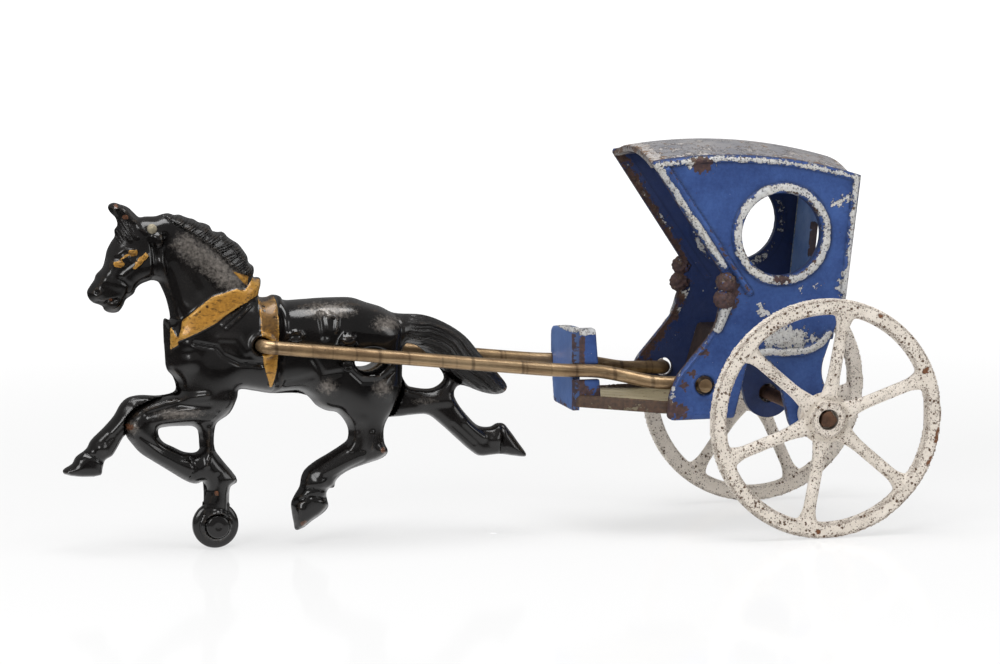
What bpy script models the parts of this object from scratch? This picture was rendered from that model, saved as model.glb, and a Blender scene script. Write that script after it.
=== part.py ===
"""A cast iron toy: one horse drawing a small two-wheeled cab, one named object for each piece.

The toy travels towards -X with +Z up. The origin is on the ground, under the middle of its box.
Sizes and places are in millimetres here. A place is read behind (+) or ahead (-) of the cab's
axle, and above the ground. place() turns it into metres in the part's frame.
"""

import math

import bmesh
import bpy
import numpy as np
from mathutils import Matrix, Vector
from mathutils.geometry import delaunay_2d_cdt

MM = 0.001
FIT = 0.3

# Cab wheels and their axle
WHEEL_R = 35.0
READING_AXLE_Z = 35.0
FRONT_REACH = 216.5
RIM_DEPTH = 4.7
RIM_WIDTH = 3.8
RIM_ROUND = 0.7
WHEEL_FACE_Y = 36.2
RIM_SIDES = 48
HUB_SIDES = 20
SPOKE_SIDES = 8
SPOKES = 6
SPOKE_WIDTH = 3.6
SPOKE_THICK = 2.6
LEFT_SPOKE_TURN = 19.3
RIGHT_SPOKE_TURN = 54.0
HUB_R = 4.9
HUB_FILLET = 2.4
HUB_PROUD = 0.8
HUB_MOUTH_DEPTH = 1.2
AXLE_R = 1.95
AXLE_HEAD_RIM = 0.8
AXLE_HEAD = 1.3

# Cab body
BODY_Y = 22.0
PANEL_T = 2.4
LOBE_WALL = 4.55
AXLE_ROOM = 0.9
ROOF_ARC_R = 122.0
ROOF_ARC_X = -25.5
ROOF_TOP_Z = 110.9
ROOF_FRONT_X = -48.6
EAVE = 2.2
ROOF_T = 1.8
ROOF_CROWN = 1.5
ROOF_DROP = 0.3
WINDOW = (-9.5, 87.6)
WINDOW_R = 12.0
WINDOW_RIM = 3.2
WINDOW_RIM_PROUD = 1.2
BEAD_R = 0.9
BEAD_INSET = 1.2
MOULDING_R = 1.15
MOULDING = ((-16.6, -4.2), (-14.0, -4.0), (-8.4, -4.4), (-3.6, -4.4), (-0.4, -3.6), (2.6, -2.0), (5.0, 0.6))
LAMP_LOBES = ((-27.0, 74.4, 3.1), (-27.4, 69.2, 3.3))
LAMP_PROUD = 3.2
LAMP_ROOT = 0.6
SHAFT_HOLE = (-32.8, 44.3)
BACK_T = 2.5
BACK_TOP = (10.1, 104.0)
BACK_FOOT = (5.0, 57.0)
REAR_WINDOW_HALF = 4.5
REAR_WINDOW_Z = (78.0, 88.0)
SEAT_Z = 57.4
SEAT_T = 2.4
SEAT_FRONT_X = -22.6
RISER_FOOT_X = -28.2
RISER_T = 2.4
DASH_X = -70.9
DASH_T = 2.2
DASH_HALF = 12.0
DASH_TOP_Z = 60.4
FLANGE_REAR_X = -62.8
FLANGE_T = 1.8
FLOOR_T = 2.6
FLOOR_DASH_Z = 38.4
FLOOR_DOOR_X = -44.4
FLOOR_DOOR_Z = 36.2
FLOOR_REAR_Z = 35.6
FLOOR_LIP = 1.2
TENON_PROUD = 0.5
TENON_HALF = 2.4
BACK_TENON_Z = (96.0, 73.0)
ROOF_TENON_X = -33.5
FLOOR_TENON_X = -38.2

# Shaft wire
WIRE_R = 1.95
WIRE_SIDE_ROOM = 0.9
WIRE_HOLE = (-160.9, 59.3)
WIRE_BEND_R = 2.8
WIRE_END_BEND_R = 2.6
WIRE_END_PROUD = 0.6
WIRE_NARROW_X = -64.0
WIRE_PLAY = 0.4
WIRE_SIDES = 10

# Horse
EDGE_HEIGHT = 0.5
OUTLINE_STEP = 2.7
FIELD_STEP = 4.4
EDGE_ROW = 1.0
BARREL_HALF = 9.3
RIVET_R = 1.1
RIVET_SIDES = 16
NECK_RIVET = (-191.3, 93.2)
NECK_SEAT_Y = 3.9
NECK_HEAD_R = 1.5
NECK_HEAD = 1.3
FLANK_RIVET_X = -136.5
FLANK_SEAT_DEPTH = 0.9
FLANK_HEAD_R = 1.7
FLANK_LUG_X = -135.9
FLANK_LUG_R = (2.7, 2.3)
FLANK_HOLE = (-128.7, 54.2)
FLANK_HOLE_R = (4.7, 3.7)

# Guide wheel
GUIDE_R = 6.7
GUIDE_X = -173.4
GUIDE_HALF = 1.6
GUIDE_LUG_R = 4.3
GUIDE_LUG_Y = 4.4
GUIDE_HEAD_R = 2.0
GUIDE_HEAD = 0.95
GUIDE_SIDES = 32

# Finishes: colour, roughness and metallic value
BLUE_PAINT = ((0.047, 0.095, 0.296), 0.45, 0.0)
CREAM_PAINT = ((0.686, 0.624, 0.521), 0.65, 0.0)
BLACK_PAINT = ((0.018, 0.017, 0.016), 0.38, 0.0)
BARE_WIRE = ((0.190, 0.135, 0.085), 0.45, 0.8)
RUSTED_IRON = ((0.150, 0.090, 0.055), 0.65, 0.3)
SHARP_ANGLE = math.radians(38.0)

# Worked out from the values above
AXLE_X = (FRONT_REACH - WHEEL_R) / 2
LIFT = WHEEL_R - READING_AXLE_Z
AXLE = (0.0, READING_AXLE_Z)
GUIDE = (GUIDE_X, GUIDE_R - LIFT)
SEAM = FIT / 2
BORE_R = AXLE_R + FIT
MOUTH_R = AXLE_R + AXLE_HEAD_RIM + FIT
AXLE_HOLE_R = AXLE_R + AXLE_ROOM
LOBE_R = AXLE_HOLE_R + LOBE_WALL
INSIDE_Y = BODY_Y - PANEL_T
FILL_Y = INSIDE_Y - FIT
HUB_IN_Y = BODY_Y + 3 * FIT
HUB_OUT_Y = WHEEL_FACE_Y + HUB_PROUD
ROOF_REAR_X = BACK_TOP[0] + BACK_T + EAVE
WIRE_ROOM = WIRE_R + FIT
WIRE_Y = BARREL_HALF + SEAM + WIRE_SIDE_ROOM + WIRE_R
WIRE_WIDE_Y = INSIDE_Y - WIRE_ROOM
HOLD_Y = WIRE_Y + SEAM
FLOOR_STATIONS = (
    (DASH_X, DASH_HALF, FLOOR_DASH_Z), (FLOOR_DOOR_X, FILL_Y, FLOOR_DOOR_Z),
    (RISER_FOOT_X + RISER_T + FLOOR_LIP, FILL_Y, FLOOR_REAR_Z),
)

# Horse outlines, (behind the axle, above the ground) in millimetres
HEAD_AND_BACK = (
    (-185.9, 66.9), (-189.0, 76.9), (-191.6, 77.6), (-195.4, 74.6), (-197.6, 73.2), (-200.1, 70.0),
    (-203.6, 69.4), (-207.9, 71.6), (-209.2, 75.2), (-206.2, 81.0), (-203.9, 86.0), (-201.9, 91.6),
    (-201.0, 95.0), (-202.8, 99.8), (-200.9, 100.7), (-197.3, 99.0), (-194.9, 96.6), (-187.3, 97.1),
    (-182.5, 96.2), (-176.0, 94.2), (-169.4, 90.6), (-164.5, 86.3), (-161.2, 81.6), (-160.6, 77.8),
    (-159.3, 72.9), (-153.5, 71.8), (-139.5, 71.2), (-131.8, 70.6), (-125.4, 68.7), (-119.6, 65.9),
    (-111.2, 65.2), (-104.7, 62.6), (-99.0, 58.6), (-94.2, 52.8), (-89.1, 47.2), (-86.1, 42.4),
    (-91.3, 41.0),
)
NEAR_HIND = (
    (-99.7, 44.6), (-106.2, 49.4), (-113.2, 56.4), (-117.3, 57.2), (-118.0, 50.0), (-119.0, 44.0),
    (-121.0, 39.0), (-123.9, 34.4), (-123.1, 27.0), (-126.6, 24.3), (-133.5, 21.4), (-138.8, 16.6),
    (-141.0, 11.1), (-150.2, 4.5), (-151.4, 12.5), (-148.2, 20.5), (-140.5, 25.8), (-135.2, 31.4),
    (-137.0, 37.0), (-147.8, 43.7), (-156.8, 44.0), (-166.7, 45.6), (-171.6, 39.5),
)
NEAR_FRONT = (
    (-172.6, 28.7), (-171.6, 23.6), (-167.6, 19.6), (-169.6, 16.6),
)
NEAR_FRONT_RISE = (
    (-176.6, 16.6), (-178.0, 20.3), (-183.4, 21.2), (-190.0, 25.2), (-195.9, 28.6), (-199.5, 34.0),
    (-200.4, 39.4), (-197.0, 43.0), (-190.0, 43.6), (-184.0, 46.4), (-186.4, 52.0), (-187.2, 59.4),
)
NEAR_LEG_GAP = ((-190.4, 34.2), (-184.3, 28.8), (-178.6, 28.2), (-178.4, 36.0), (-187.0, 36.2))
FAR_HIND = (
    (-97.6, 43.2), (-101.6, 41.2), (-100.4, 37.6), (-95.7, 32.8), (-90.3, 31.4), (-85.6, 30.6),
    (-80.0, 21.8), (-92.6, 22.6), (-98.6, 25.6), (-104.6, 30.6), (-110.0, 34.4), (-119.0, 34.6),
    (-131.0, 36.4), (-147.8, 43.7), (-156.8, 44.0), (-166.7, 45.6), (-171.6, 39.5),
)
FAR_TAIL_GAP = (
    (-117.4, 57.0), (-118.4, 50.0), (-116.6, 44.6), (-107.6, 43.7), (-105.2, 46.6), (-108.0, 51.2),
    (-113.2, 56.2),
)
FAR_FRONT = ((-172.6, 28.7), (-169.6, 16.6))
FAR_FRONT_RISE = (
    (-176.6, 16.6), (-177.6, 28.7), (-178.6, 35.4), (-184.0, 37.0), (-191.4, 35.9), (-198.1, 34.4),
    (-202.3, 27.7), (-204.9, 22.0), (-FRONT_REACH, 23.4), (-209.4, 31.4), (-199.9, 42.3), (-194.6, 45.0),
    (-185.0, 46.4), (-186.4, 52.0), (-187.2, 59.4),
)

# Half thickness at named places: (behind the axle, above the ground, half thickness, reach)
SHARED_STATIONS = (
    (-206.0, 74.5, 3.7, 6.0), (-200.0, 86.0, 4.6, 7.0), (-195.0, 81.0, 5.4, 6.0),
    (-199.0, 98.0, 3.0, 5.0), (-190.0, 92.0, 4.6, 6.0), (-181.0, 86.0, 5.3, 9.0),
    (-173.0, 75.0, 6.9, 10.0), (-169.0, 89.5, 4.3, 5.0), (-176.0, 61.0, 8.6, 10.0),
    (-182.0, 54.0, 7.8, 7.0), (-160.0, 58.0, BARREL_HALF - 0.3, 12.0),
    (-145.0, 57.0, BARREL_HALF, 12.0),
    (-128.0, 60.0, BARREL_HALF - 0.3, 10.0), (-122.0, 54.0, 8.2, 7.0),
    (-114.0, 62.0, 3.4, 6.0), (-98.0, 53.0, 3.8, 9.0), (-175.0, 28.0, GUIDE_LUG_Y, 7.0),
    (GUIDE[0], GUIDE[1] + 1.3, GUIDE_LUG_Y, 8.0),
)
NEAR_STATIONS = (
    (-131.0, 45.0, 7.8, 8.0), (-129.0, 33.0, 5.0, 6.0), (-136.0, 24.0, 3.9, 6.0),
    (-147.0, 12.0, 4.0, 7.0), (-192.0, 39.5, 4.6, 6.0), (-198.5, 37.5, 4.4, 5.0),
    (-190.0, 27.0, 3.6, 6.0), (-173.0, 20.5, 4.6, 5.0),
)
FAR_STATIONS = (
    (-130.0, 44.0, 7.6, 8.0), (-112.0, 39.0, 5.0, 7.0), (-99.0, 33.0, 4.0, 6.0),
    (-86.0, 26.0, 4.0, 6.0), (-192.0, 40.0, 4.6, 6.0), (-203.0, 33.0, 3.6, 6.0),
    (-210.0, 25.5, 4.0, 6.0),
)


def clear_scene():
    """Remove every object that the new file opens with."""
    for item in list(bpy.data.objects):
        bpy.data.objects.remove(item, do_unlink=True)


def place(x, y, z):
    """Metres in the part's frame for a reading in millimetres."""
    return ((AXLE_X + x) * MM, y * MM, (z + LIFT) * MM)


def make_object(name, points, faces):
    """A new object from points in metres, with its faces turned outwards."""
    mesh = bpy.data.meshes.new(name)
    mesh.from_pydata([tuple(p) for p in points], [], [tuple(f) for f in faces])
    work = bmesh.new()
    work.from_mesh(mesh)
    bmesh.ops.remove_doubles(work, verts=work.verts, dist=1e-7)
    bmesh.ops.recalc_face_normals(work, faces=work.faces)
    work.to_mesh(mesh)
    work.free()
    item = bpy.data.objects.new(name, mesh)
    bpy.context.scene.collection.objects.link(item)
    return item


def combine(target, tool, operation):
    """Join, cut or intersect target with tool, and remove tool."""
    tool.hide_render = True
    tool.display_type = "WIRE"
    step = target.modifiers.new("step", "BOOLEAN")
    step.operation = operation
    step.solver = "EXACT"
    step.object = tool
    graph = bpy.context.evaluated_depsgraph_get()
    graph.update()
    result = bpy.data.meshes.new_from_object(target.evaluated_get(graph))
    target.modifiers.remove(step)
    old = target.data
    target.data = result
    bpy.data.meshes.remove(old)
    bpy.data.objects.remove(tool, do_unlink=True)


def join(target, *tools):
    """Add each tool to the target's solid."""
    for tool in tools:
        combine(target, tool, "UNION")


def cut(target, *tools):
    """Take each tool out of the target's solid."""
    for tool in tools:
        combine(target, tool, "DIFFERENCE")


def loft(name, rings, closed=False):
    """A solid through equal rings of points, capped at both ends unless the rings close on themselves."""
    count = len(rings[0])
    points = [p for ring in rings for p in ring]
    faces = []
    spans = len(rings) if closed else len(rings) - 1
    for i in range(spans):
        a = i * count
        b = ((i + 1) % len(rings)) * count
        for j in range(count):
            k = (j + 1) % count
            faces.append((a + j, a + k, b + k, b + j))
    if not closed:
        faces.append(tuple(range(count)))
        last = (len(rings) - 1) * count
        faces.append(tuple(range(last, last + count)))
    return make_object(name, points, faces)


def slab(name, outline, y0, y1):
    """An outline of readings, carried from y0 to y1 in millimetres across the toy."""
    rings = [[place(x, y, z) for x, z in outline] for y in (y0, y1)]
    return loft(name, rings)


def box(name, x0, x1, y0, y1, z0, z1):
    """A block between readings in millimetres."""
    return slab(name, ((x0, z0), (x1, z0), (x1, z1), (x0, z1)), y0, y1)


def turned(name, centre, profile, sides, phase=0.0, squash=(1.0, 1.0)):
    """A solid turned about a line across the toy: profile holds (radius, y) in millimetres."""
    rings = []
    for radius, y in profile:
        ring = []
        for i in range(sides):
            angle = phase + 2 * math.pi * i / sides
            x = centre[0] + squash[0] * radius * math.cos(angle)
            z = centre[1] + squash[1] * radius * math.sin(angle)
            ring.append(place(x, y, z))
        rings.append(ring)
    return loft(name, rings)


def hoop(name, centre, profile, sides, phase=0.0):
    """A closed ring about a line across the toy: profile is a closed loop of (radius, y)."""
    rings = []
    for i in range(sides):
        angle = phase + 2 * math.pi * i / sides
        c, s = math.cos(angle), math.sin(angle)
        rings.append([place(centre[0] + r * c, y, centre[1] + r * s) for r, y in profile])
    return loft(name, rings, closed=True)


def rod(name, path, radii, sides):
    """A round bar through path points in millimetres, with one radius for each point."""
    points = [Vector(p) for p in path]
    rings = []
    side = None
    for i, point in enumerate(points):
        ahead = points[min(i + 1, len(points) - 1)] - points[max(i - 1, 0)]
        ahead.normalize()
        if side is None:
            side = ahead.orthogonal().normalized()
        side = (side - ahead * side.dot(ahead)).normalized()
        other = ahead.cross(side)
        ring = []
        for j in range(sides):
            angle = 2 * math.pi * (j + 0.5) / sides
            p = point + (side * math.cos(angle) + other * math.sin(angle)) * radii[i]
            ring.append(place(*p))
        rings.append(ring)
    return loft(name, rings)


def arc(centre, radius, start, end, steps):
    """Points on a circle from one angle to another, in degrees."""
    angles = np.radians(np.linspace(start, end, steps))
    return [(centre[0] + radius * math.cos(a), centre[1] + radius * math.sin(a)) for a in angles]


def fillet(corners, steps=4):
    """An open run of corners (x, z, radius) with a round of that radius at each."""
    out = []
    for i, (x, z, radius) in enumerate(corners):
        here = Vector((x, z))
        if radius == 0 or i in (0, len(corners) - 1):
            out.append((x, z))
            continue
        back = (Vector(corners[i - 1][:2]) - here).normalized()
        on = (Vector(corners[i + 1][:2]) - here).normalized()
        half = back.angle(on) / 2
        reach = radius / math.tan(half)
        centre = here + (back + on).normalized() * radius / math.sin(half)
        first = here + back * reach - centre
        turn = first.angle_signed(here + on * reach - centre)
        for j in range(steps + 1):
            angle = -turn * j / steps
            c, s = math.cos(angle), math.sin(angle)
            out.append((centre.x + c * first.x - s * first.y, centre.y + s * first.x + c * first.y))
    return out


def smooth_loop(points, step):
    """A closed centripetal Catmull-Rom curve through points, sampled about every step."""
    p = np.array(points, float)
    out = []
    for i in range(len(p)):
        a, b, c, d = p[i - 1], p[i], p[(i + 1) % len(p)], p[(i + 2) % len(p)]
        knots = [0.0]
        for u, v in ((a, b), (b, c), (c, d)):
            knots.append(knots[-1] + math.sqrt(np.linalg.norm(v - u)))
        t0, t1, t2, t3 = knots
        count = max(1, round(float(np.linalg.norm(c - b)) / step))
        for t in np.linspace(t1, t2, count, endpoint=False):
            a1 = (t1 - t) / (t1 - t0) * a + (t - t0) / (t1 - t0) * b
            a2 = (t2 - t) / (t2 - t1) * b + (t - t1) / (t2 - t1) * c
            a3 = (t3 - t) / (t3 - t2) * c + (t - t2) / (t3 - t2) * d
            b1 = (t2 - t) / (t2 - t0) * a1 + (t - t0) / (t2 - t0) * a2
            b2 = (t3 - t) / (t3 - t1) * a2 + (t - t1) / (t3 - t1) * a3
            out.append((t2 - t) / (t2 - t1) * b1 + (t - t1) / (t2 - t1) * b2)
    return np.array(out)


def inside(points, loops):
    """True for each point that lies in the outline and in none of its gaps."""
    state = np.zeros(len(points), bool)
    x, z = points[:, 0][:, None], points[:, 1][:, None]
    for loop in loops:
        a, b = loop, np.roll(loop, -1, axis=0)
        spans = (a[:, 1] > z) != (b[:, 1] > z)
        rise = np.where(b[:, 1] == a[:, 1], 1.0, b[:, 1] - a[:, 1])
        meets = a[:, 0] + (z - a[:, 1]) / rise * (b[:, 0] - a[:, 0])
        state ^= ((spans & (x < meets)).sum(axis=1) % 2).astype(bool)
    return state


def edge_distance(points, loops):
    """Distance from each point to the nearest outline."""
    best = np.full(len(points), np.inf)
    for loop in loops:
        a, b = loop, np.roll(loop, -1, axis=0)
        run = b - a
        t = ((points[:, None] - a) * run).sum(2) / (run ** 2).sum(1)
        near = a + np.clip(t, 0, 1)[..., None] * run
        best = np.minimum(best, np.linalg.norm(points[:, None] - near, axis=2).min(axis=1))
    return best


def relief(points, loops, stations):
    """Half thickness of the casting at each point.

    The full thickness is a mean of the named places, weighted by nearness. It falls to the edge
    height at the outline along a quarter circle.
    """
    s = np.array(stations)
    gap = np.linalg.norm(points[:, None] - s[:, :2], axis=2)
    weight = np.exp(-((gap / s[:, 3]) ** 2)) + 1e-9 / (1 + gap ** 2)
    full = (weight * s[:, 2]).sum(1) / weight.sum(1)
    t = np.clip(edge_distance(points, loops) / full, 0, 1)
    return EDGE_HEIGHT + (full - EDGE_HEIGHT) * np.sqrt(1 - (1 - t) ** 2)


def triangulate(loops, inner):
    """Points and triangles that fill the outline less its gaps, using the inner points too."""
    count = [len(loop) for loop in loops]
    starts = np.cumsum([0] + count[:-1])
    edges = [(s + i, s + (i + 1) % n) for s, n in zip(starts, count) for i in range(n)]
    cloud = np.vstack([*loops, inner]) if len(inner) else np.vstack(loops)
    coords = [Vector((float(p[0]), float(p[1]))) for p in cloud]
    edges = [(int(a), int(b)) for a, b in edges]
    result = delaunay_2d_cdt(coords, edges, [], 0, 1e-6)
    flat = np.array([(v.x, v.y) for v in result[0]])
    faces = result[2]
    middle = np.array([flat[list(f)].mean(axis=0) for f in faces])
    keep = inside(middle, loops)
    return flat, [tuple(f) for f, k in zip(faces, keep) if k]


def ring_inside(loop, loops, way):
    """A row of points one millimetre to one side of an outline, where they lie in the shape."""
    along = np.roll(loop, -1, axis=0) - np.roll(loop, 1, axis=0)
    normal = np.stack([-along[:, 1], along[:, 0]], 1)
    normal /= np.linalg.norm(normal, axis=1)[:, None]
    row = loop + normal * way
    row = row[inside(row, loops)]
    return row[edge_distance(row, loops) > EDGE_ROW * 0.85]


def field_inside(loops):
    """An even field of points within the shape, two rows clear of its outlines."""
    everything = np.vstack(loops)
    low, high = everything.min(axis=0), everything.max(axis=0)
    field = []
    for i, z in enumerate(np.arange(low[1], high[1], FIELD_STEP * math.sqrt(0.75))):
        shift = (i % 2) * FIELD_STEP / 2
        field += [(x + shift, z) for x in np.arange(low[0], high[0], FIELD_STEP)]
    field = np.array(field)
    field = field[inside(field, loops)]
    return field[edge_distance(field, loops) > EDGE_ROW + FIELD_STEP * 0.3]


def relief_solid(name, outlines, stations, sign):
    """One half of the horse: flat on the middle plane, and domed outwards on the side of sign."""
    loops = [smooth_loop(o, OUTLINE_STEP) for o in outlines]
    rows = [ring_inside(loop, loops, way) for loop in loops for way in (EDGE_ROW, -EDGE_ROW)]
    flat, faces = triangulate(loops, np.vstack([field_inside(loops), *rows]))
    height = relief(flat, loops, stations)
    base, base_faces = triangulate(loops, np.zeros((0, 2)))
    points = [place(p[0], sign * (SEAM + h), p[1]) for p, h in zip(flat, height)]
    offset = len(points)
    points += [place(p[0], sign * SEAM, p[1]) for p in base]
    solid_faces = faces + [tuple(offset + i for i in reversed(f)) for f in base_faces]
    start = 0
    for loop in loops:
        count = len(loop)
        for i in range(count):
            a, b = start + i, start + (i + 1) % count
            solid_faces.append((a, b, offset + b, offset + a))
        start += count
    return make_object(name, points, solid_faces)


def dress(item, finish, pivot=None, smooth=True):
    """Give a finished piece its material, its shading and the place that it turns about."""
    colour, roughness, metallic = finish
    material = bpy.data.materials.new(item.name + "_finish")
    material.use_nodes = True
    shader = material.node_tree.nodes["Principled BSDF"]
    shader.inputs["Base Color"].default_value = (*colour, 1.0)
    shader.inputs["Roughness"].default_value = roughness
    shader.inputs["Metallic"].default_value = metallic
    item.data.materials.clear()
    item.data.materials.append(material)
    if smooth:
        item.data.shade_smooth()
        item.data.set_sharp_from_angle(angle=SHARP_ANGLE)
    if pivot:
        origin = Vector(place(pivot[0], 0.0, pivot[1]))
        item.data.transform(Matrix.Translation(-origin))
        item.location = origin


def roof_height(x):
    """Top of the roof's edge above the ground: an arc highest at ROOF_ARC_X."""
    return ROOF_TOP_Z - ROOF_ARC_R + math.sqrt(ROOF_ARC_R ** 2 - (x - ROOF_ARC_X) ** 2)


def back_x(z):
    """Inner face of the cab's back at a height."""
    slope = (BACK_TOP[0] - BACK_FOOT[0]) / (BACK_TOP[1] - BACK_FOOT[1])
    return BACK_FOOT[0] + (z - BACK_FOOT[1]) * slope


def floor_top(x):
    """Top of the floor at a distance behind the axle."""
    places = [s[0] for s in FLOOR_STATIONS]
    tops = [s[2] + FLOOR_T for s in FLOOR_STATIONS]
    return float(np.interp(x, places, tops))


def shaft_z(x):
    """Height of a shaft's middle line, straight from the cab's side to the horse's shoulder."""
    slope = (WIRE_HOLE[1] - SHAFT_HOLE[1]) / (WIRE_HOLE[0] - SHAFT_HOLE[0])
    return SHAFT_HOLE[1] + (x - SHAFT_HOLE[0]) * slope


def panel_outline():
    """Side of the cab seen from outside: roof, rear edge, axle lobe, arch, foot and front edge."""
    top = [(x, roof_height(x)) for x in np.linspace(ROOF_FRONT_X, ROOF_REAR_X, 13)]
    rear = fillet((
        (*top[-1], 0), (back_x(66.0) + BACK_T + 1.6, 66.0, 7.0),
        (back_x(SEAT_Z) + 0.9, SEAT_Z, 6.0), (back_x(48.0) - 1.4, 48.0, 5.0),
        (3.6, AXLE[1] + LOBE_R, 0),
    ))
    lobe = arc(AXLE, LOBE_R, 52.0, -168.0, 13)
    low = min(FLOOR_REAR_Z, FLOOR_DOOR_Z) - 1.2
    foot = fillet((
        (-LOBE_R - 0.5, AXLE[1] + 3.5, 0), (-11.0, SEAT_Z - 9.0, 2.5), (-14.4, SEAT_Z - 5.4, 1.8),
        (-19.4, SEAT_Z - 5.6, 2.0), (-23.8, low, 1.0), (-40.6, low, 4.0), (-45.0, low + 6.5, 3.0),
        (-35.2, 52.8, 9.0), (-28.0, 60.6, 9.0), (-24.6, 69.5, 6.0), (-25.9, 75.8, 0), (*top[0], 0),
    ))
    return top[:-1] + rear[:-1] + lobe + foot[:-1]


def tenons():
    """Tongues that the inner castings push through the sides: x and z limits of each."""
    backs = []
    for z in BACK_TENON_Z:
        backs.append((back_x(z) + 0.3, back_x(z) + BACK_T - 0.7, z - TENON_HALF, z + TENON_HALF))
    roof_z = roof_height(ROOF_TENON_X)
    floor_z = floor_top(FLOOR_TENON_X)
    return {
        "seat": (-13.0, -2.0, SEAT_Z - SEAT_T + 0.4, SEAT_Z - 0.4),
        "back_high": backs[0],
        "back_low": backs[1],
        "roof": (ROOF_TENON_X - 3.0, ROOF_TENON_X + 3.0, roof_z - ROOF_DROP - ROOF_T + 0.05, roof_z - 1.0),
        "floor": (FLOOR_TENON_X - 1.8, FLOOR_TENON_X + 1.8, floor_z - FLOOR_T + 0.5, floor_z - 0.5),
    }


def add_tenons(item, *names):
    """Join the named tongues to a casting, on both sides."""
    for name in names:
        x0, x1, z0, z1 = tenons()[name]
        for sign in (-1, 1):
            join(item, box("tongue", x0, x1, sign * (FILL_Y - 1.0), sign * (BODY_Y + TENON_PROUD), z0, z1))


def panel_beads():
    """Raised lines on a side of the cab: its points and radii for each, (behind the axle, height)."""
    tongue = tenons()["roof"]
    front_run = np.linspace(ROOF_FRONT_X + 2.6, tongue[0] - 1.2, 4)
    rear_run = np.linspace(tongue[1] + 1.2, ROOF_REAR_X - 1.6, 10)
    front = [(x, roof_height(x) - BEAD_INSET) for x in front_run]
    rear = [(x, roof_height(x) - BEAD_INSET) for x in rear_run]
    tail = (back_x(70.4) + BACK_T + 0.7, 70.4)
    moulding = [(x, SEAT_Z + z) for x, z in MOULDING]
    return (
        ((front[0], (-26.6, 78.6)), (BEAD_R, BEAD_R)),
        (front, [BEAD_R] * len(front)),
        (rear, [BEAD_R] * len(rear)),
        ((rear[-1], tail), (BEAD_R, BEAD_R)),
        (((-42.6, roof_height(-42.6) - 3.8), (-19.6, 72.2)), (BEAD_R, BEAD_R - 0.2)),
        (moulding, [MOULDING_R] * len(moulding)),
        (((-24.3, 66.8), (-27.6, 59.6)), (MOULDING_R + 0.15, MOULDING_R)),
    )


def window_rim(sign):
    """Raised rim round the side window."""
    top = BODY_Y + WINDOW_RIM_PROUD
    outer = WINDOW_R + WINDOW_RIM
    loop = (
        (WINDOW_R - 0.6, BODY_Y - 0.8), (WINDOW_R - 0.6, top - 0.24), (WINDOW_R + 0.9, top),
        (outer - 0.9, top - 0.24), (outer, BODY_Y + 0.1), (outer, BODY_Y - 0.8),
    )
    return hoop("rim", WINDOW, [(r, sign * y) for r, y in loop], RIM_SIDES)


def lamp_lobe(x, z, size, sign):
    """One rounded lobe of the cast lamp."""
    rise = LAMP_PROUD - LAMP_ROOT
    dome = []
    for a in np.radians((-70, -40, -10, 20, 50, 75)):
        dome.append((size * math.cos(a), sign * (BODY_Y + LAMP_ROOT + rise * math.sin(a))))
    return turned("lamp", (x, z), dome, 12, squash=(1.0, 0.85))


def side_panel(name, sign):
    """Side casting with its window, beads, rib, lamp, moulding and axle lobe."""
    panel = slab(name, panel_outline(), sign * INSIDE_Y, sign * BODY_Y)
    through = (sign * (INSIDE_Y - 1.0), sign * (BODY_Y + WINDOW_RIM_PROUD + 1.0))
    for centre, radius in ((SHAFT_HOLE, WIRE_ROOM + FIT), (AXLE, AXLE_HOLE_R)):
        cut(panel, turned("hole", centre, [(radius, y) for y in through], HUB_SIDES))
    for x0, x1, z0, z1 in tenons().values():
        cut(panel, box("slot", x0 - SEAM, x1 + SEAM, *through, z0 - SEAM, z1 + SEAM))
    face = sign * (BODY_Y - 0.15)
    for line, radii in panel_beads():
        join(panel, rod("bead", [(x, face, z) for x, z in line], radii, 8))
    join(panel, window_rim(sign))
    for x, z, size in LAMP_LOBES:
        join(panel, lamp_lobe(x, z, size, sign))
    cut(panel, turned("hole", WINDOW, [(WINDOW_R, y) for y in through], RIM_SIDES))
    return panel


def roof_and_back(name):
    """Roof with a slight crown across, and the back with its small window, in one casting."""
    rings = []
    for x in np.linspace(ROOF_FRONT_X + 1.0, back_x(100.0) + BACK_T, 13):
        over = []
        for y in np.linspace(-FILL_Y, FILL_Y, 7):
            over.append((x, y, roof_height(x) - ROOF_DROP + ROOF_CROWN * (1 - (y / FILL_Y) ** 2)))
        under = [(px, py, pz - ROOF_T) for px, py, pz in reversed(over)]
        rings.append([place(*p) for p in over + under])
    roof = loft(name, rings)
    low, high = SEAT_Z - 1.4, roof_height(BACK_TOP[0] + BACK_T) - 1.0
    outline = (
        (back_x(low), low), (back_x(low) + BACK_T, low),
        (back_x(high) + BACK_T, high), (back_x(high), high),
    )
    back = slab("back", outline, -FILL_Y, FILL_Y)
    front, rear = back_x(REAR_WINDOW_Z[0]) - 5.0, back_x(REAR_WINDOW_Z[1]) + BACK_T + 5.0
    cut(back, box("gap", front, rear, -REAR_WINDOW_HALF, REAR_WINDOW_HALF, *REAR_WINDOW_Z))
    join(roof, back)
    add_tenons(roof, "back_high", "back_low", "roof")
    return roof


def seat(name):
    """Seat board and its sloping front, in one casting."""
    under = SEAT_Z - SEAT_T
    foot = floor_top(RISER_FOOT_X) + FIT
    outline = (
        (SEAT_FRONT_X, SEAT_Z), (RISER_FOOT_X, foot), (RISER_FOOT_X + RISER_T, foot),
        (SEAT_FRONT_X + RISER_T + 0.2, under), (back_x(under) - FIT, under), (back_x(SEAT_Z) - FIT, SEAT_Z),
    )
    item = slab(name, outline, -FILL_Y, FILL_Y)
    add_tenons(item, "seat")
    return item


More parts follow.
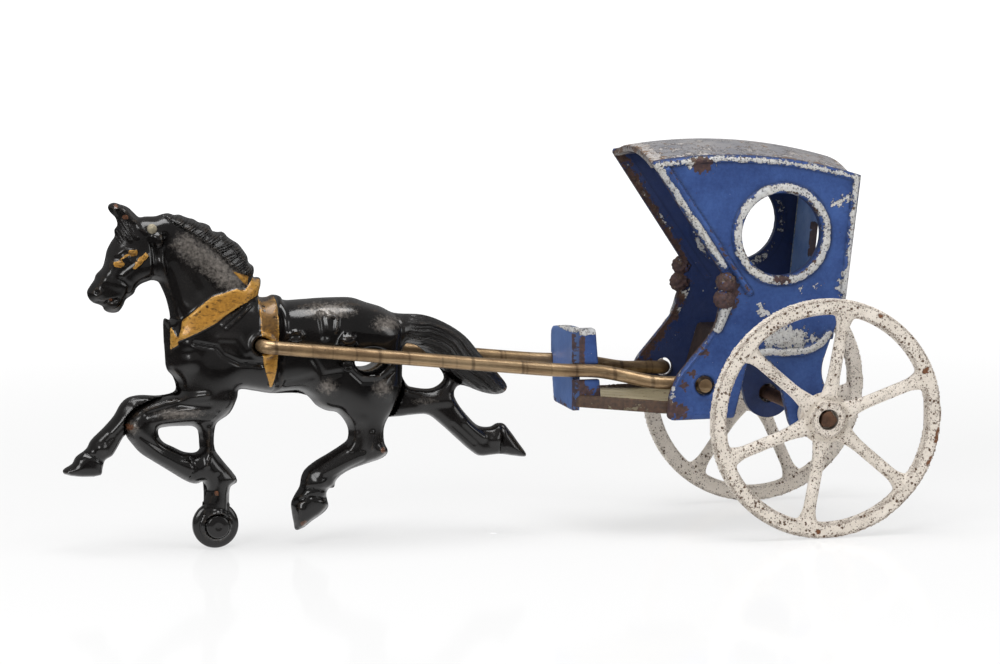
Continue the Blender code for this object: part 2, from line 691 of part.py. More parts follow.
def wire_half():
    """Middle line of one shaft, from its end in the cab's side to the middle of the horse."""
    hole_x = SHAFT_HOLE[0]
    bend = WIRE_END_BEND_R
    plan = [(hole_x, BODY_Y + WIRE_END_PROUD)]
    for a in np.radians((0, 22.5, 45, 67.5, 90)):
        plan.append((hole_x - bend * (1 - math.cos(a)), WIRE_WIDE_Y + bend * (1 - math.sin(a))))
    start = hole_x - bend
    for t in (0.2, 0.4, 0.6, 0.8, 1.0):
        ease = t * t * (3 - 2 * t)
        plan.append((start + (WIRE_NARROW_X - start) * t, WIRE_WIDE_Y + (WIRE_Y - WIRE_WIDE_Y) * ease))
    bend = WIRE_BEND_R
    for a in np.radians((0, 22.5, 45, 67.5, 90)):
        plan.append((WIRE_HOLE[0] + bend * (1 - math.sin(a)), WIRE_Y - bend * (1 - math.cos(a))))
    return [(x, y, shaft_z(x)) for x, y in plan]


def shaft_wire(name):
    """One stiff wire: through the horse's shoulders, along both flanks and into the cab's sides."""
    half = wire_half()
    path = [(x, -y, z) for x, y, z in half] + list(reversed(half))
    return rod(name, path, [WIRE_R] * len(path), WIRE_SIDES)


def footboard(name):
    """Floor and dash in one casting, with side flanges notched for the shafts."""
    rings = []
    for x, half, z in FLOOR_STATIONS:
        section = ((-half, z), (half, z), (half, z + FLOOR_T), (-half, z + FLOOR_T))
        rings.append([place(x, y, up) for y, up in section])
    item = loft(name, rings)
    front, rear = DASH_X + 0.1, DASH_X + DASH_T
    foot = FLOOR_DASH_Z + 0.2
    face = fillet((
        (-DASH_HALF, foot, 0), (DASH_HALF, foot, 0), (DASH_HALF, DASH_TOP_Z, 2.4),
        (0.0, DASH_TOP_Z + 0.8, 40.0), (-DASH_HALF, DASH_TOP_Z, 2.4), (-DASH_HALF, foot, 0),
    ))[:-1]
    join(item, loft("dash", [[place(x, y, z) for y, z in face] for x in (front, rear)]))
    base, top = FLOOR_DASH_Z + FLOOR_T * 0.6, DASH_TOP_Z - 0.6
    side = fillet((
        (rear - 1.0, base, 0), (FLANGE_REAR_X + 0.9, base, 0), (FLANGE_REAR_X, top, 2.0),
        (rear - 1.0, top, 0),
    ))
    ends = (front - 1.0, FLANGE_REAR_X + 1.0)
    under = [(x, shaft_z(x) - WIRE_ROOM) for x in ends]
    over = [(x, shaft_z(x) + WIRE_ROOM) for x in reversed(ends)]
    for sign in (-1, 1):
        join(item, slab("flange", side, sign * (DASH_HALF - FLANGE_T), sign * (DASH_HALF - 0.05)))
        cut(item, slab("notch", under + over, sign * (WIRE_Y - WIRE_ROOM), sign * (DASH_HALF + 1.0)))
    add_tenons(item, "floor")
    return item


def spoke(angle, sign, middle):
    """One oval spoke that widens into the hub and the rim."""
    c, s = math.cos(angle), math.sin(angle)
    rim_in = WHEEL_R - RIM_DEPTH
    wide = SPOKE_WIDTH / 2
    stations = (
        (HUB_R * 0.6, wide * 1.6), (HUB_R + 3.2, wide * 1.25), (HUB_R + 6.4, wide),
        (rim_in - 4.0, wide), (rim_in - 1.2, wide * 1.3), (rim_in + RIM_DEPTH * 0.34, wide * 1.9),
    )
    rings = []
    for out, half in stations:
        ring = []
        for j in range(SPOKE_SIDES):
            a = 2 * math.pi * j / SPOKE_SIDES
            across = half * math.cos(a)
            y = sign * (middle + SPOKE_THICK / 2 * math.sin(a))
            ring.append(place(AXLE[0] + out * c - across * s, y, AXLE[1] + out * s + across * c))
        rings.append(ring)
    return loft("spoke", rings)


def cab_wheel(name, sign, turn):
    """Spoked wheel with a long hub, loose on the axle."""
    rim_in = WHEEL_R - RIM_DEPTH
    rim = (
        (WHEEL_R, RIM_ROUND), (WHEEL_R, RIM_WIDTH - RIM_ROUND), (WHEEL_R - RIM_ROUND, RIM_WIDTH),
        (rim_in + 1.0, RIM_WIDTH - 0.2), (rim_in, RIM_WIDTH / 2), (rim_in + 1.0, 0.2),
        (WHEEL_R - RIM_ROUND, 0.0),
    )
    loop = [(r, sign * (WHEEL_FACE_Y - y)) for r, y in rim]
    wheel = hoop(name, AXLE, loop, RIM_SIDES, phase=-math.pi / 2)
    middle = WHEEL_FACE_Y - RIM_WIDTH / 2
    boss = HUB_R + HUB_FILLET
    hub = (
        (HUB_R - 0.6, HUB_IN_Y), (HUB_R, HUB_IN_Y + 0.6), (HUB_R, middle - 3.4), (boss, middle - 1.1),
        (boss, middle + 1.1), (HUB_R, middle + 2.0), (HUB_R - 0.6, HUB_OUT_Y),
    )
    join(wheel, turned("hub", AXLE, [(r, sign * y) for r, y in hub], HUB_SIDES))
    for i in range(SPOKES):
        join(wheel, spoke(math.radians(turn + 360 * i / SPOKES), sign, middle))
    floor = HUB_OUT_Y - HUB_MOUTH_DEPTH
    bore = (
        (BORE_R, HUB_IN_Y - 1.0), (BORE_R, floor), (MOUTH_R, floor + 0.01), (MOUTH_R, HUB_OUT_Y + 1.0),
    )
    cut(wheel, turned("bore", AXLE, [(r, sign * y) for r, y in bore], HUB_SIDES))
    return wheel


def axle(name):
    """Axle bar with a peened head in the mouth of each hub."""
    start = HUB_OUT_Y - HUB_MOUTH_DEPTH + FIT
    head_r = AXLE_R + AXLE_HEAD_RIM
    side = [
        (AXLE_R, start), (head_r, start + 0.05), (head_r, start + AXLE_HEAD * 0.7),
        (head_r - 0.7, start + AXLE_HEAD),
    ]
    profile = [(r, -y) for r, y in reversed(side)] + side
    return turned(name, AXLE, profile, HUB_SIDES)


def rivets():
    """Place, head radius, and start and end of the head across the toy, for each pin in the horse."""
    flank_z = shaft_z(FLANK_RIVET_X) - WIRE_R - WIRE_PLAY - FLANK_HEAD_R
    lug_y = GUIDE_LUG_Y + SEAM
    return {
        "neck_rivet": (NECK_RIVET, NECK_HEAD_R, NECK_SEAT_Y, NECK_SEAT_Y + NECK_HEAD),
        "flank_rivet": ((FLANK_RIVET_X, flank_z), FLANK_HEAD_R, BARREL_HALF - FLANK_SEAT_DEPTH, HOLD_Y),
        "guide_wheel_pin": (GUIDE, GUIDE_HEAD_R, lug_y, lug_y + GUIDE_HEAD),
    }


def rivet(name, centre, head_r, seat_y, end_y):
    """A pin through both halves of the horse with a head on each side."""
    side = [(RIVET_R, seat_y), (head_r, seat_y + 0.01), (head_r, end_y - 0.4), (head_r - 0.6, end_y)]
    profile = [(r, -y) for r, y in reversed(side)] + side
    return turned(name, centre, profile, RIVET_SIDES)


def rivet_room(centre, head_r, seat_y, sign):
    """Room for a rivet in one half: its pin, and its head from the seat outwards."""
    seat_at = seat_y - FIT
    profile = (
        (RIVET_R + FIT, -sign), (RIVET_R + FIT, sign * seat_at), (head_r + FIT, sign * (seat_at + 0.01)),
        (head_r + FIT, sign * (HOLD_Y + 5.0)),
    )
    return turned("room", centre, profile, RIVET_SIDES)


def horse_half(name, sign):
    """One half of the horse with its own legs, the post and the lug beside the guide wheel."""
    lug = tuple(arc(GUIDE, GUIDE_LUG_R, 35.0, -215.0, 9))
    if sign < 0:
        outlines = (HEAD_AND_BACK + NEAR_HIND + NEAR_FRONT + lug + NEAR_FRONT_RISE, NEAR_LEG_GAP)
        stations = SHARED_STATIONS + NEAR_STATIONS
    else:
        outlines = (HEAD_AND_BACK + FAR_HIND + FAR_FRONT + lug + FAR_FRONT_RISE, FAR_TAIL_GAP)
        stations = SHARED_STATIONS + FAR_STATIONS
    half = relief_solid(name, outlines, stations, sign)
    root = BARREL_HALF - 1.3
    dome = []
    for a in np.radians((-10, 20, 45, 65, 80)):
        dome.append((math.cos(a), sign * (root + (HOLD_Y - root) * math.sin(a))))
    lug_z = shaft_z(FLANK_LUG_X) + WIRE_R + WIRE_PLAY + FLANK_LUG_R[1]
    join(half, turned("lug", (FLANK_LUG_X, lug_z), dome, 14, squash=FLANK_LUG_R))
    reach = (-sign, sign * (HOLD_Y + 5.0))
    cut(half, turned("shoulder", WIRE_HOLE, [(WIRE_ROOM, y) for y in reach], HUB_SIDES))
    cut(half, turned("flank", FLANK_HOLE, [(1.0, y) for y in reach], HUB_SIDES, squash=FLANK_HOLE_R))
    for centre, head_r, seat_y, _ in rivets().values():
        cut(half, rivet_room(centre, head_r, seat_y, sign))
    pocket = [(GUIDE_R + 2 * FIT, y) for y in (-sign, sign * (GUIDE_HALF + FIT))]
    cut(half, turned("pocket", GUIDE, pocket, GUIDE_SIDES))
    return half


def guide_wheel(name):
    """Small solid wheel between the two lugs."""
    bore = RIVET_R + FIT
    tread = GUIDE_HALF - 0.7
    loop = (
        (GUIDE_R, tread), (GUIDE_R - 0.7, GUIDE_HALF), (bore, GUIDE_HALF),
        (bore, -GUIDE_HALF), (GUIDE_R - 0.7, -GUIDE_HALF), (GUIDE_R, -tread),
    )
    return hoop(name, GUIDE, loop, GUIDE_SIDES, phase=-math.pi / 2)


def main():
    """Build every piece in the order that the toy goes together."""
    clear_scene()
    dress(side_panel("side_panel_left", -1), BLUE_PAINT, smooth=False)
    dress(side_panel("side_panel_right", 1), BLUE_PAINT, smooth=False)
    dress(roof_and_back("roof_and_back"), BLUE_PAINT, smooth=False)
    dress(seat("seat"), RUSTED_IRON, smooth=False)
    dress(footboard("footboard"), BLUE_PAINT, smooth=False)
    dress(axle("axle"), RUSTED_IRON, pivot=AXLE)
    dress(cab_wheel("wheel_left", -1, LEFT_SPOKE_TURN), CREAM_PAINT, pivot=AXLE)
    dress(cab_wheel("wheel_right", 1, RIGHT_SPOKE_TURN), CREAM_PAINT, pivot=AXLE)
    dress(shaft_wire("shaft_wire"), BARE_WIRE)
    dress(horse_half("horse_left_half", -1), BLACK_PAINT)
    dress(horse_half("horse_right_half", 1), BLACK_PAINT)
    dress(guide_wheel("guide_wheel"), BLACK_PAINT, pivot=GUIDE)
    for name, place_and_heads in rivets().items():
        dress(rivet(name, *place_and_heads), BLACK_PAINT)


main()
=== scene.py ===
"""Looks of a cast iron toy horse and cab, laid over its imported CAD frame.

Readings are in millimetres: behind (+) or ahead (-) of the cab's axle, across the toy, and above
the ground. to_frame() turns them into metres in the part's frame.
"""

import logging
import math
from dataclasses import dataclass, field
from enum import Enum
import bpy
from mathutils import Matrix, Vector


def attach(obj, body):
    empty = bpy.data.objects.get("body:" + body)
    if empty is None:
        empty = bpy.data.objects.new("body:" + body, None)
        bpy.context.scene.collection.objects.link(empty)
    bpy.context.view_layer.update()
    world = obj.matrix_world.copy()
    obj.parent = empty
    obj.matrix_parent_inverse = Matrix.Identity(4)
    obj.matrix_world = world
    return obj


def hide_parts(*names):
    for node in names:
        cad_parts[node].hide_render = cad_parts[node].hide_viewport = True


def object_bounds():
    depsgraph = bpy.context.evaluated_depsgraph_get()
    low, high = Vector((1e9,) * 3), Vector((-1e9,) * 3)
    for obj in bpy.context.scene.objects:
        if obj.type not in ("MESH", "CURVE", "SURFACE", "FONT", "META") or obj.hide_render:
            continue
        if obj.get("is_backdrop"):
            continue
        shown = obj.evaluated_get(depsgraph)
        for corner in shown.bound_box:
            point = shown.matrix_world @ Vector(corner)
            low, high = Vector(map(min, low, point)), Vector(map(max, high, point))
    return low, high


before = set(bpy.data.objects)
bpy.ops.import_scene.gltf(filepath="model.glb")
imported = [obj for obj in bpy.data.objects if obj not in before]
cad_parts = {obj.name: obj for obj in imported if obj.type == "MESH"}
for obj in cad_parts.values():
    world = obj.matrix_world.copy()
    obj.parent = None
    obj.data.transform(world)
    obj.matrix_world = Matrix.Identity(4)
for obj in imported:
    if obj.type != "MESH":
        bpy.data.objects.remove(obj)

from inspect import signature
from typing import Callable, Dict, List, Optional, Sequence, Tuple, Union

import bmesh
import bpy
import numpy as np
from mathutils import Matrix, Vector

Array = np.ndarray
Pair = Tuple[float, float]
Line = Tuple[Pair, ...]
Spot = Tuple[float, float, float]
Station = Tuple[float, float, float, float]
Masks = Dict[str, Array]
Paint = bpy.types.Material
Effects = Dict[Callable, bpy.types.NodeTree]
log = logging.getLogger("toy")

MM = 0.001
AXLE_X = 90.75  # the cab's axle behind the part's middle
AXLE_Z = 35.0  # the axle above the ground
SEAM = 0.15  # half the gap between the horse's castings
LEAST_WALL = 0.12
BEHIND_SHARE = 0.6  # of a plate's masks on its back
SAME_POINT = 2e-7  # metres
SHARP_EDGE = 50.0  # degrees
POINTS_AT_ONCE = 4000


class Side(Enum):
    """Side of the toy that a piece stands on, as the sign of its place across."""

    NEAR = -1
    FAR = 1

    @property
    def other(self) -> "Side":
        """The side across from it."""
        return Side(-self.value)


class Swell(Enum):
    """How a form rises from its edge to its middle line."""

    SOFT = "soft"
    ROUND = "round"


# Geometry: curves, distances and shells, all as whole arrays

def to_frame(points: Array) -> Array:
    """Metres in the part's frame for an (n, 3) array of readings."""
    return (points + np.array([AXLE_X, 0.0, 0.0])) * MM


def ease(t: Array) -> Array:
    """Smooth step from 0 to 1: 3t^2 - 2t^3 with t held between 0 and 1."""
    t = np.clip(t, 0.0, 1.0)
    return t * t * (3.0 - 2.0 * t)


def quarter(t: Array) -> Array:
    """Quarter circle from 0 to 1: sqrt(1 - (1 - t)^2) with t held between 0 and 1."""
    return np.sqrt(1 - (1 - np.clip(t, 0, 1)) ** 2)


def bell(t: Array, width: float) -> Array:
    """Bell curve: exp(-(t / width)^2)."""
    return np.exp(-(t / width) ** 2)


def fade(t: Array, width: float) -> Array:
    """Falling curve: exp(-t / width)."""
    return np.exp(-t / width)


def distance(points: Array, place: Pair, size: Pair = (1.0, 1.0)) -> Array:
    """Distance of each point from a place, over the size in each direction."""
    return np.linalg.norm((points - np.array(place)) / size, axis=1)


def closed(loop: Array) -> Array:
    """A loop with its first point again at its end."""
    return np.vstack([loop, loop[:1]])


def box(x0: float, z0: float, x1: float, z1: float) -> Array:
    """Corners of a rectangle."""
    return np.array([(x0, z0), (x1, z0), (x1, z1), (x0, z1)])


def curve_through(points: Line, per_span: int) -> Array:
    """A closed centripetal Catmull-Rom curve.

    Each span blends the straight lines through its four neighbouring points, with the knots
    spaced by the square root of the distance between points.

    Args:
        points: readings that the curve passes through.
        per_span: samples between two of them.

    Returns:
        An (n, 2) array of readings.
    """
    p = [np.roll(np.array(points, float), k, axis=0)[:, None] for k in (1, 0, -1, -2)]
    knots = [np.zeros((len(points), 1, 1))]
    for a, b in zip(p[:-1], p[1:]):
        knots.append(knots[-1] + np.sqrt(np.linalg.norm(b - a, axis=2, keepdims=True)))
    t0, t1, t2, t3 = knots
    t = t1 + (t2 - t1) * np.linspace(0, 1, per_span, endpoint=False)[None, :, None]
    a1 = ((t1 - t) * p[0] + (t - t0) * p[1]) / (t1 - t0)
    a2 = ((t2 - t) * p[1] + (t - t1) * p[2]) / (t2 - t1)
    a3 = ((t3 - t) * p[2] + (t - t2) * p[3]) / (t3 - t2)
    b1 = ((t2 - t) * a1 + (t - t0) * a2) / (t2 - t0)
    b2 = ((t3 - t) * a2 + (t - t1) * a3) / (t3 - t1)
    return (((t2 - t) * b1 + (t - t1) * b2) / (t2 - t1)).reshape(-1, 2)


def ellipse(centre: Pair, radii: Pair, count: int = 64) -> Array:
    """A closed ellipse: centre plus radii times the cosine and sine of an even run of angles."""
    a = np.linspace(0, 2 * math.pi, count, endpoint=False)
    return np.stack([centre[0] + radii[0] * np.cos(a), centre[1] + radii[1] * np.sin(a)], 1)


def nearest(points: Array, line: Array) -> Tuple[Array, Array, Array, Array]:
    """Nearest place on a line of straight runs.

    Args:
        points: (n, 2) readings.
        line: (m, 2) readings, joined in order.

    Returns:
        For each point: distance, the nearest place, length run along the line, signed offset.
    """
    a, b = line[:-1], line[1:]
    run = b - a
    length = np.linalg.norm(run, axis=1)
    start = np.concatenate([[0.0], np.cumsum(length)[:-1]])
    parts = []
    for p in np.array_split(points, max(1, len(points) // POINTS_AT_ONCE)):
        t = ((p[:, None] - a) * run).sum(2) / np.maximum(length ** 2, 1e-12)
        t = np.clip(t, 0.0, 1.0)
        gap = p[:, None] - (a + t[..., None] * run)
        dist = np.sqrt((gap ** 2).sum(2))
        best = dist.argmin(1)
        rows = np.arange(len(p))
        g, tb, r = gap[rows, best], t[rows, best], run[best]
        side = np.sign(r[:, 0] * g[:, 1] - r[:, 1] * g[:, 0])
        parts.append((dist[rows, best], p - g, start[best] + tb * length[best], side * dist[rows, best]))
    return tuple(np.concatenate([part[k] for part in parts]) for k in range(4))


def inside(points: Array, loops: Sequence[Array]) -> Array:
    """True where a ray to one side crosses the loops an odd number of times."""
    parts = []
    for p in np.array_split(points, max(1, len(points) // POINTS_AT_ONCE)):
        state = np.zeros(len(p), bool)
        x, z = p[:, 0][:, None], p[:, 1][:, None]
        for loop in loops:
            a, b = loop, np.roll(loop, -1, axis=0)
            rise = np.where(b[:, 1] == a[:, 1], 1.0, b[:, 1] - a[:, 1])
            meets = a[:, 0] + (z - a[:, 1]) / rise * (b[:, 0] - a[:, 0])
            hit = ((a[:, 1] > z) != (b[:, 1] > z)) & (x < meets)
            state ^= (hit.sum(1) % 2).astype(bool)
        parts.append(state)
    return np.concatenate(parts)


@dataclass
class Loops:
    """A flat shape between outlines: the first is filled and each further one is a gap in it."""

    outlines: List[Array]

    def holds(self, points: Array) -> Array:
        """True for each point within the shape."""
        return inside(points, self.outlines)

    def limits(self) -> Tuple[Array, Array]:
        """Lowest and highest readings of the first outline."""
        return self.outlines[0].min(0), self.outlines[0].max(0)

    def snap(self, points: Array) -> Array:
        """The nearest place on the outlines to each point."""
        found = [nearest(points, closed(o))[:2] for o in self.outlines]
        best = np.stack([d for d, _ in found]).argmin(0)
        return np.stack([place for _, place in found])[best, np.arange(len(points))]

    def depth(self, points: Array, only: Optional[int] = None) -> Array:
        """Distance to the outlines, or to the first few of them."""
        return np.min([nearest(points, closed(o))[0] for o in self.outlines[:only]], axis=0)

    def rim(self, points: Array, drop: float, width: float) -> Array:
        """How far a rounded rim of a width lies below the face."""
        return drop * (1 - ease(self.depth(points) / width))


@dataclass
class SpokedDisc:
    """Flat shape of a spoked wheel: a ring, tapering spokes and a hub, run together with fillets.

    Each part gives a depth, positive within it. The parts join as the smooth greatest of them,
    k times the logarithm of the sum of exp(depth / k).
    """

    radius: float
    rim: float
    hub: float
    bore: float
    spoke_half: float
    turn: float
    spokes: int = 6
    fillet: float = 0.55

    def limits(self) -> Tuple[Array, Array]:
        """Lowest and highest readings of the rim."""
        middle = np.array([0.0, AXLE_Z])
        return middle - self.radius, middle + self.radius

    def parts(self, points: Array) -> Tuple[Array, Array, Array]:
        """Distance from the centre, ring depth and spoke depth of each point."""
        p = points - np.array([0.0, AXLE_Z])
        r = np.hypot(p[:, 0], p[:, 1])
        pitch = 2 * math.pi / self.spokes
        a = np.arctan2(p[:, 1], p[:, 0]) - math.radians(self.turn)
        a = (a + pitch / 2) % pitch - pitch / 2
        offset = r * np.sin(a)
        ring = self.rim / 2 - np.abs(r - (self.radius - self.rim / 2))
        flare = 0.9 * bell(r - self.hub, 4.0) + 0.8 * bell(self.radius - self.rim - r, 2.4)
        spoke = np.where(r < self.radius - 1.0, self.spoke_half + flare - np.abs(offset), -9.0)
        return r, ring, spoke

    def signed(self, points: Array) -> Array:
        """Depth within the shape, negative outside it."""
        r, ring, spoke = self.parts(points)
        k = self.fillet
        joined = k * np.log(np.exp(ring / k) + np.exp(spoke / k) + np.exp((self.hub - r) / k))
        return np.minimum(np.minimum(joined, r - self.bore), self.radius - r)

    def holds(self, points: Array) -> Array:
        """True for each point within the shape."""
        return self.signed(points) > 0

    def snap(self, points: Array) -> Array:
        """Each point moved on to the outline: back along the slope of the depth, three times."""
        step = 0.01
        for _ in range(3):
            d = self.signed(points)
            dx = (self.signed(points + [step, 0]) - d) / step
            dz = (self.signed(points + [0, step]) - d) / step
            size = np.maximum(dx ** 2 + dz ** 2, 0.2)
            points = points - np.stack([d * dx / size, d * dz / size], 1)
        return points

    def depth(self, points: Array) -> Array:
        """Depth within the shape, at least zero."""
        return np.maximum(self.signed(points), 0.0)


@dataclass(frozen=True)
class Form:
    """A swelling along a line of readings, or a groove where its height is negative."""

    line: Line
    reach: float
    height: float
    swell: Swell = Swell.SOFT
    beads: float = 0.0

    def rise(self, points: Array) -> Array:
        """Height that it adds at each point, from u, the distance over the reach.

        Soft is (1 - u^2)^2 and round is sqrt(1 - u^2). With beads, the height also beats as the
        cosine of the length run along the line.
        """
        line = np.array(self.line if len(self.line) > 1 else self.line * 2, float)
        dist, _, run, _ = nearest(points, line)
        u = np.clip(dist / self.reach, 0.0, 1.0)
        shape = (1 - u ** 2) ** 2 if self.swell is Swell.SOFT else np.sqrt(1 - u ** 2)
        if self.beads:
            shape = shape * (0.65 + 0.35 * np.cos(2 * math.pi * run / self.beads))
        return self.height * shape


@dataclass(frozen=True)
class Patch:
    """A raised or painted area with a soft edge."""

    line: Line
    height: float
    soft: float = 0.35

    def share(self, points: Array) -> Array:
        """0 outside the outline, 1 inside it, with an eased edge of twice the soft width."""
        loop = np.array(self.line, float)
        dist = nearest(points, closed(loop))[0]
        signed = np.where(inside(points, [loop]), dist, -dist)
        return ease(signed / self.soft / 2 + 0.5)


@dataclass
class Shell:
    """Points, four-sided faces and masks of a surface, before it becomes a mesh."""

    points: Array
    faces: Array
    masks: Masks = field(default_factory=dict)


def merged(shells: Sequence[Shell]) -> Shell:
    """Several shells as one, with a mask of zeros wherever a shell lacks it."""
    names = sorted({n for s in shells for n in s.masks})
    starts = np.cumsum([0] + [len(s.points) for s in shells[:-1]])
    blank = [np.zeros(len(s.points)) for s in shells]
    masks = {n: np.concatenate([s.masks.get(n, b) for s, b in zip(shells, blank)]) for n in names}
    faces = np.vstack([s.faces + start for s, start in zip(shells, starts)])
    return Shell(np.vstack([s.points for s in shells]), faces, masks)


def ring_faces(m: int, n: int, along: bool = False) -> Array:
    """Faces between m rings of n points, and between the last and the first if along."""
    i, j = np.arange(m if along else m - 1)[:, None], np.arange(n)[None]
    k, right = (i + 1) % m, (j + 1) % n
    return np.stack([i * n + j, i * n + right, k * n + right, k * n + j], -1).reshape(-1, 4)


def carried(rings: Array, along: bool = False) -> Shell:
    """A surface through rings of points, each closed on itself.

    Args:
        rings: (m, n, 3) readings: m stations of the same n places.
        along: whether the last ring joins the first. Otherwise its ends close in their middles.

    Returns:
        The shell.
    """
    if not along:
        first, last = rings[:1].mean(1, keepdims=True), rings[-1:].mean(1, keepdims=True)
        shape = (1, rings.shape[1], 3)
        rings = np.concatenate([np.broadcast_to(first, shape), rings, np.broadcast_to(last, shape)])
    return Shell(rings.reshape(-1, 3), ring_faces(*rings.shape[:2], along))


def turned(centre: Pair, profile: Sequence[Pair], sides: int = 64, closed: bool = False) -> Shell:
    """A surface turned about a line across the toy: centre plus radius times cosine and sine.

    Args:
        centre: reading of the line.
        profile: (radius, place across) pairs.
        sides: points round it.
        closed: whether the profile closes on itself, as a ring's does.

    Returns:
        The shell.
    """
    p = np.array(profile, float)[:, None]
    a = np.linspace(0, 2 * math.pi, sides, endpoint=False)[None]
    x = centre[0] + p[..., 0] * np.cos(a)
    z = centre[1] + p[..., 0] * np.sin(a)
    return carried(np.stack([x, np.broadcast_to(p[..., 1], x.shape), z], -1), along=closed)


def rounded(profile: Sequence[Spot], steps: int = 5) -> List[Pair]:
    """A run of corners (radius, across, round) with each corner eased by a small curve.

    The curve is the quadratic through the two places that lie the round's length from the corner.
    """
    out: List[Pair] = []
    for i, (r, y, size) in enumerate(profile):
        here = np.array([r, y])
        if size == 0 or i in (0, len(profile) - 1):
            out.append((r, y))
            continue
        back, on = np.array(profile[i - 1][:2]) - here, np.array(profile[i + 1][:2]) - here
        a = here + back / np.linalg.norm(back) * size
        b = here + on / np.linalg.norm(on) * size
        t = np.linspace(0, 1, steps)[:, None]
        out += [tuple(q) for q in (1 - t) ** 2 * a + 2 * t * (1 - t) * here + t ** 2 * b]
    return out


def pin(centre: Pair, half: Sequence[Spot], sides: int) -> Shell:
    """A pin across the toy, from the corners of its half on one side."""
    end = rounded(half)
    return turned(centre, [(r, -y) for r, y in reversed(end)] + end[1:], sides)


def rod(path: Array, radius: float, sides: int, dome: float) -> Shell:
    """A round bar along a path, with softly domed ends.

    A ring stands square to the path at each point. Its two directions are the part of a fixed
    direction that is square to the path, and their cross product.
    """
    ahead = np.gradient(path, axis=0)
    ahead /= np.linalg.norm(ahead, axis=1, keepdims=True)
    up = np.array([0.0, 0.0, 1.0]) - ahead * ahead[:, 2:]
    up /= np.linalg.norm(up, axis=1, keepdims=True)
    other = np.cross(ahead, up)
    size = np.full(len(path), radius)
    caps = np.array([0.25, 0.62, 0.88, 1.0])
    path = np.vstack([path[0] - ahead[0] * dome * (1 - caps[:, None] ** 2), path[1:-1],
                      path[-1] + ahead[-1] * dome * (1 - caps[::-1, None] ** 2)])
    order = np.concatenate([np.zeros(4, int), np.arange(1, len(size) - 1), np.full(4, len(size) - 1)])
    size = np.concatenate([radius * caps, size[1:-1], radius * caps[::-1]])
    a = np.linspace(0, 2 * math.pi, sides, endpoint=False)[None, :, None]
    out = up[order][:, None] * np.cos(a) + other[order][:, None] * np.sin(a)
    return carried(path[:, None] + size[:, None, None] * out)


def across(side: Side) -> Callable[[Array, Array], Array]:
    """How a plate lies along the toy, its height running out to a side."""
    return lambda p, h: np.stack([p[:, 0], side.value * h, p[:, 1]], 1)


def upwards(p: Array, h: Array) -> Array:
    """How a plate lies level, its height running up."""
    return np.stack([p[:, 0], p[:, 1], h], 1)


def upright(place: Callable[[Array], Array], way: int) -> Callable[[Array, Array], Array]:
    """How a plate stands across the toy, its height running back (1) or ahead (-1) of its place."""
    return lambda p, h: np.stack([place(p[:, 1]) + way * h, p[:, 0], p[:, 1]], 1)


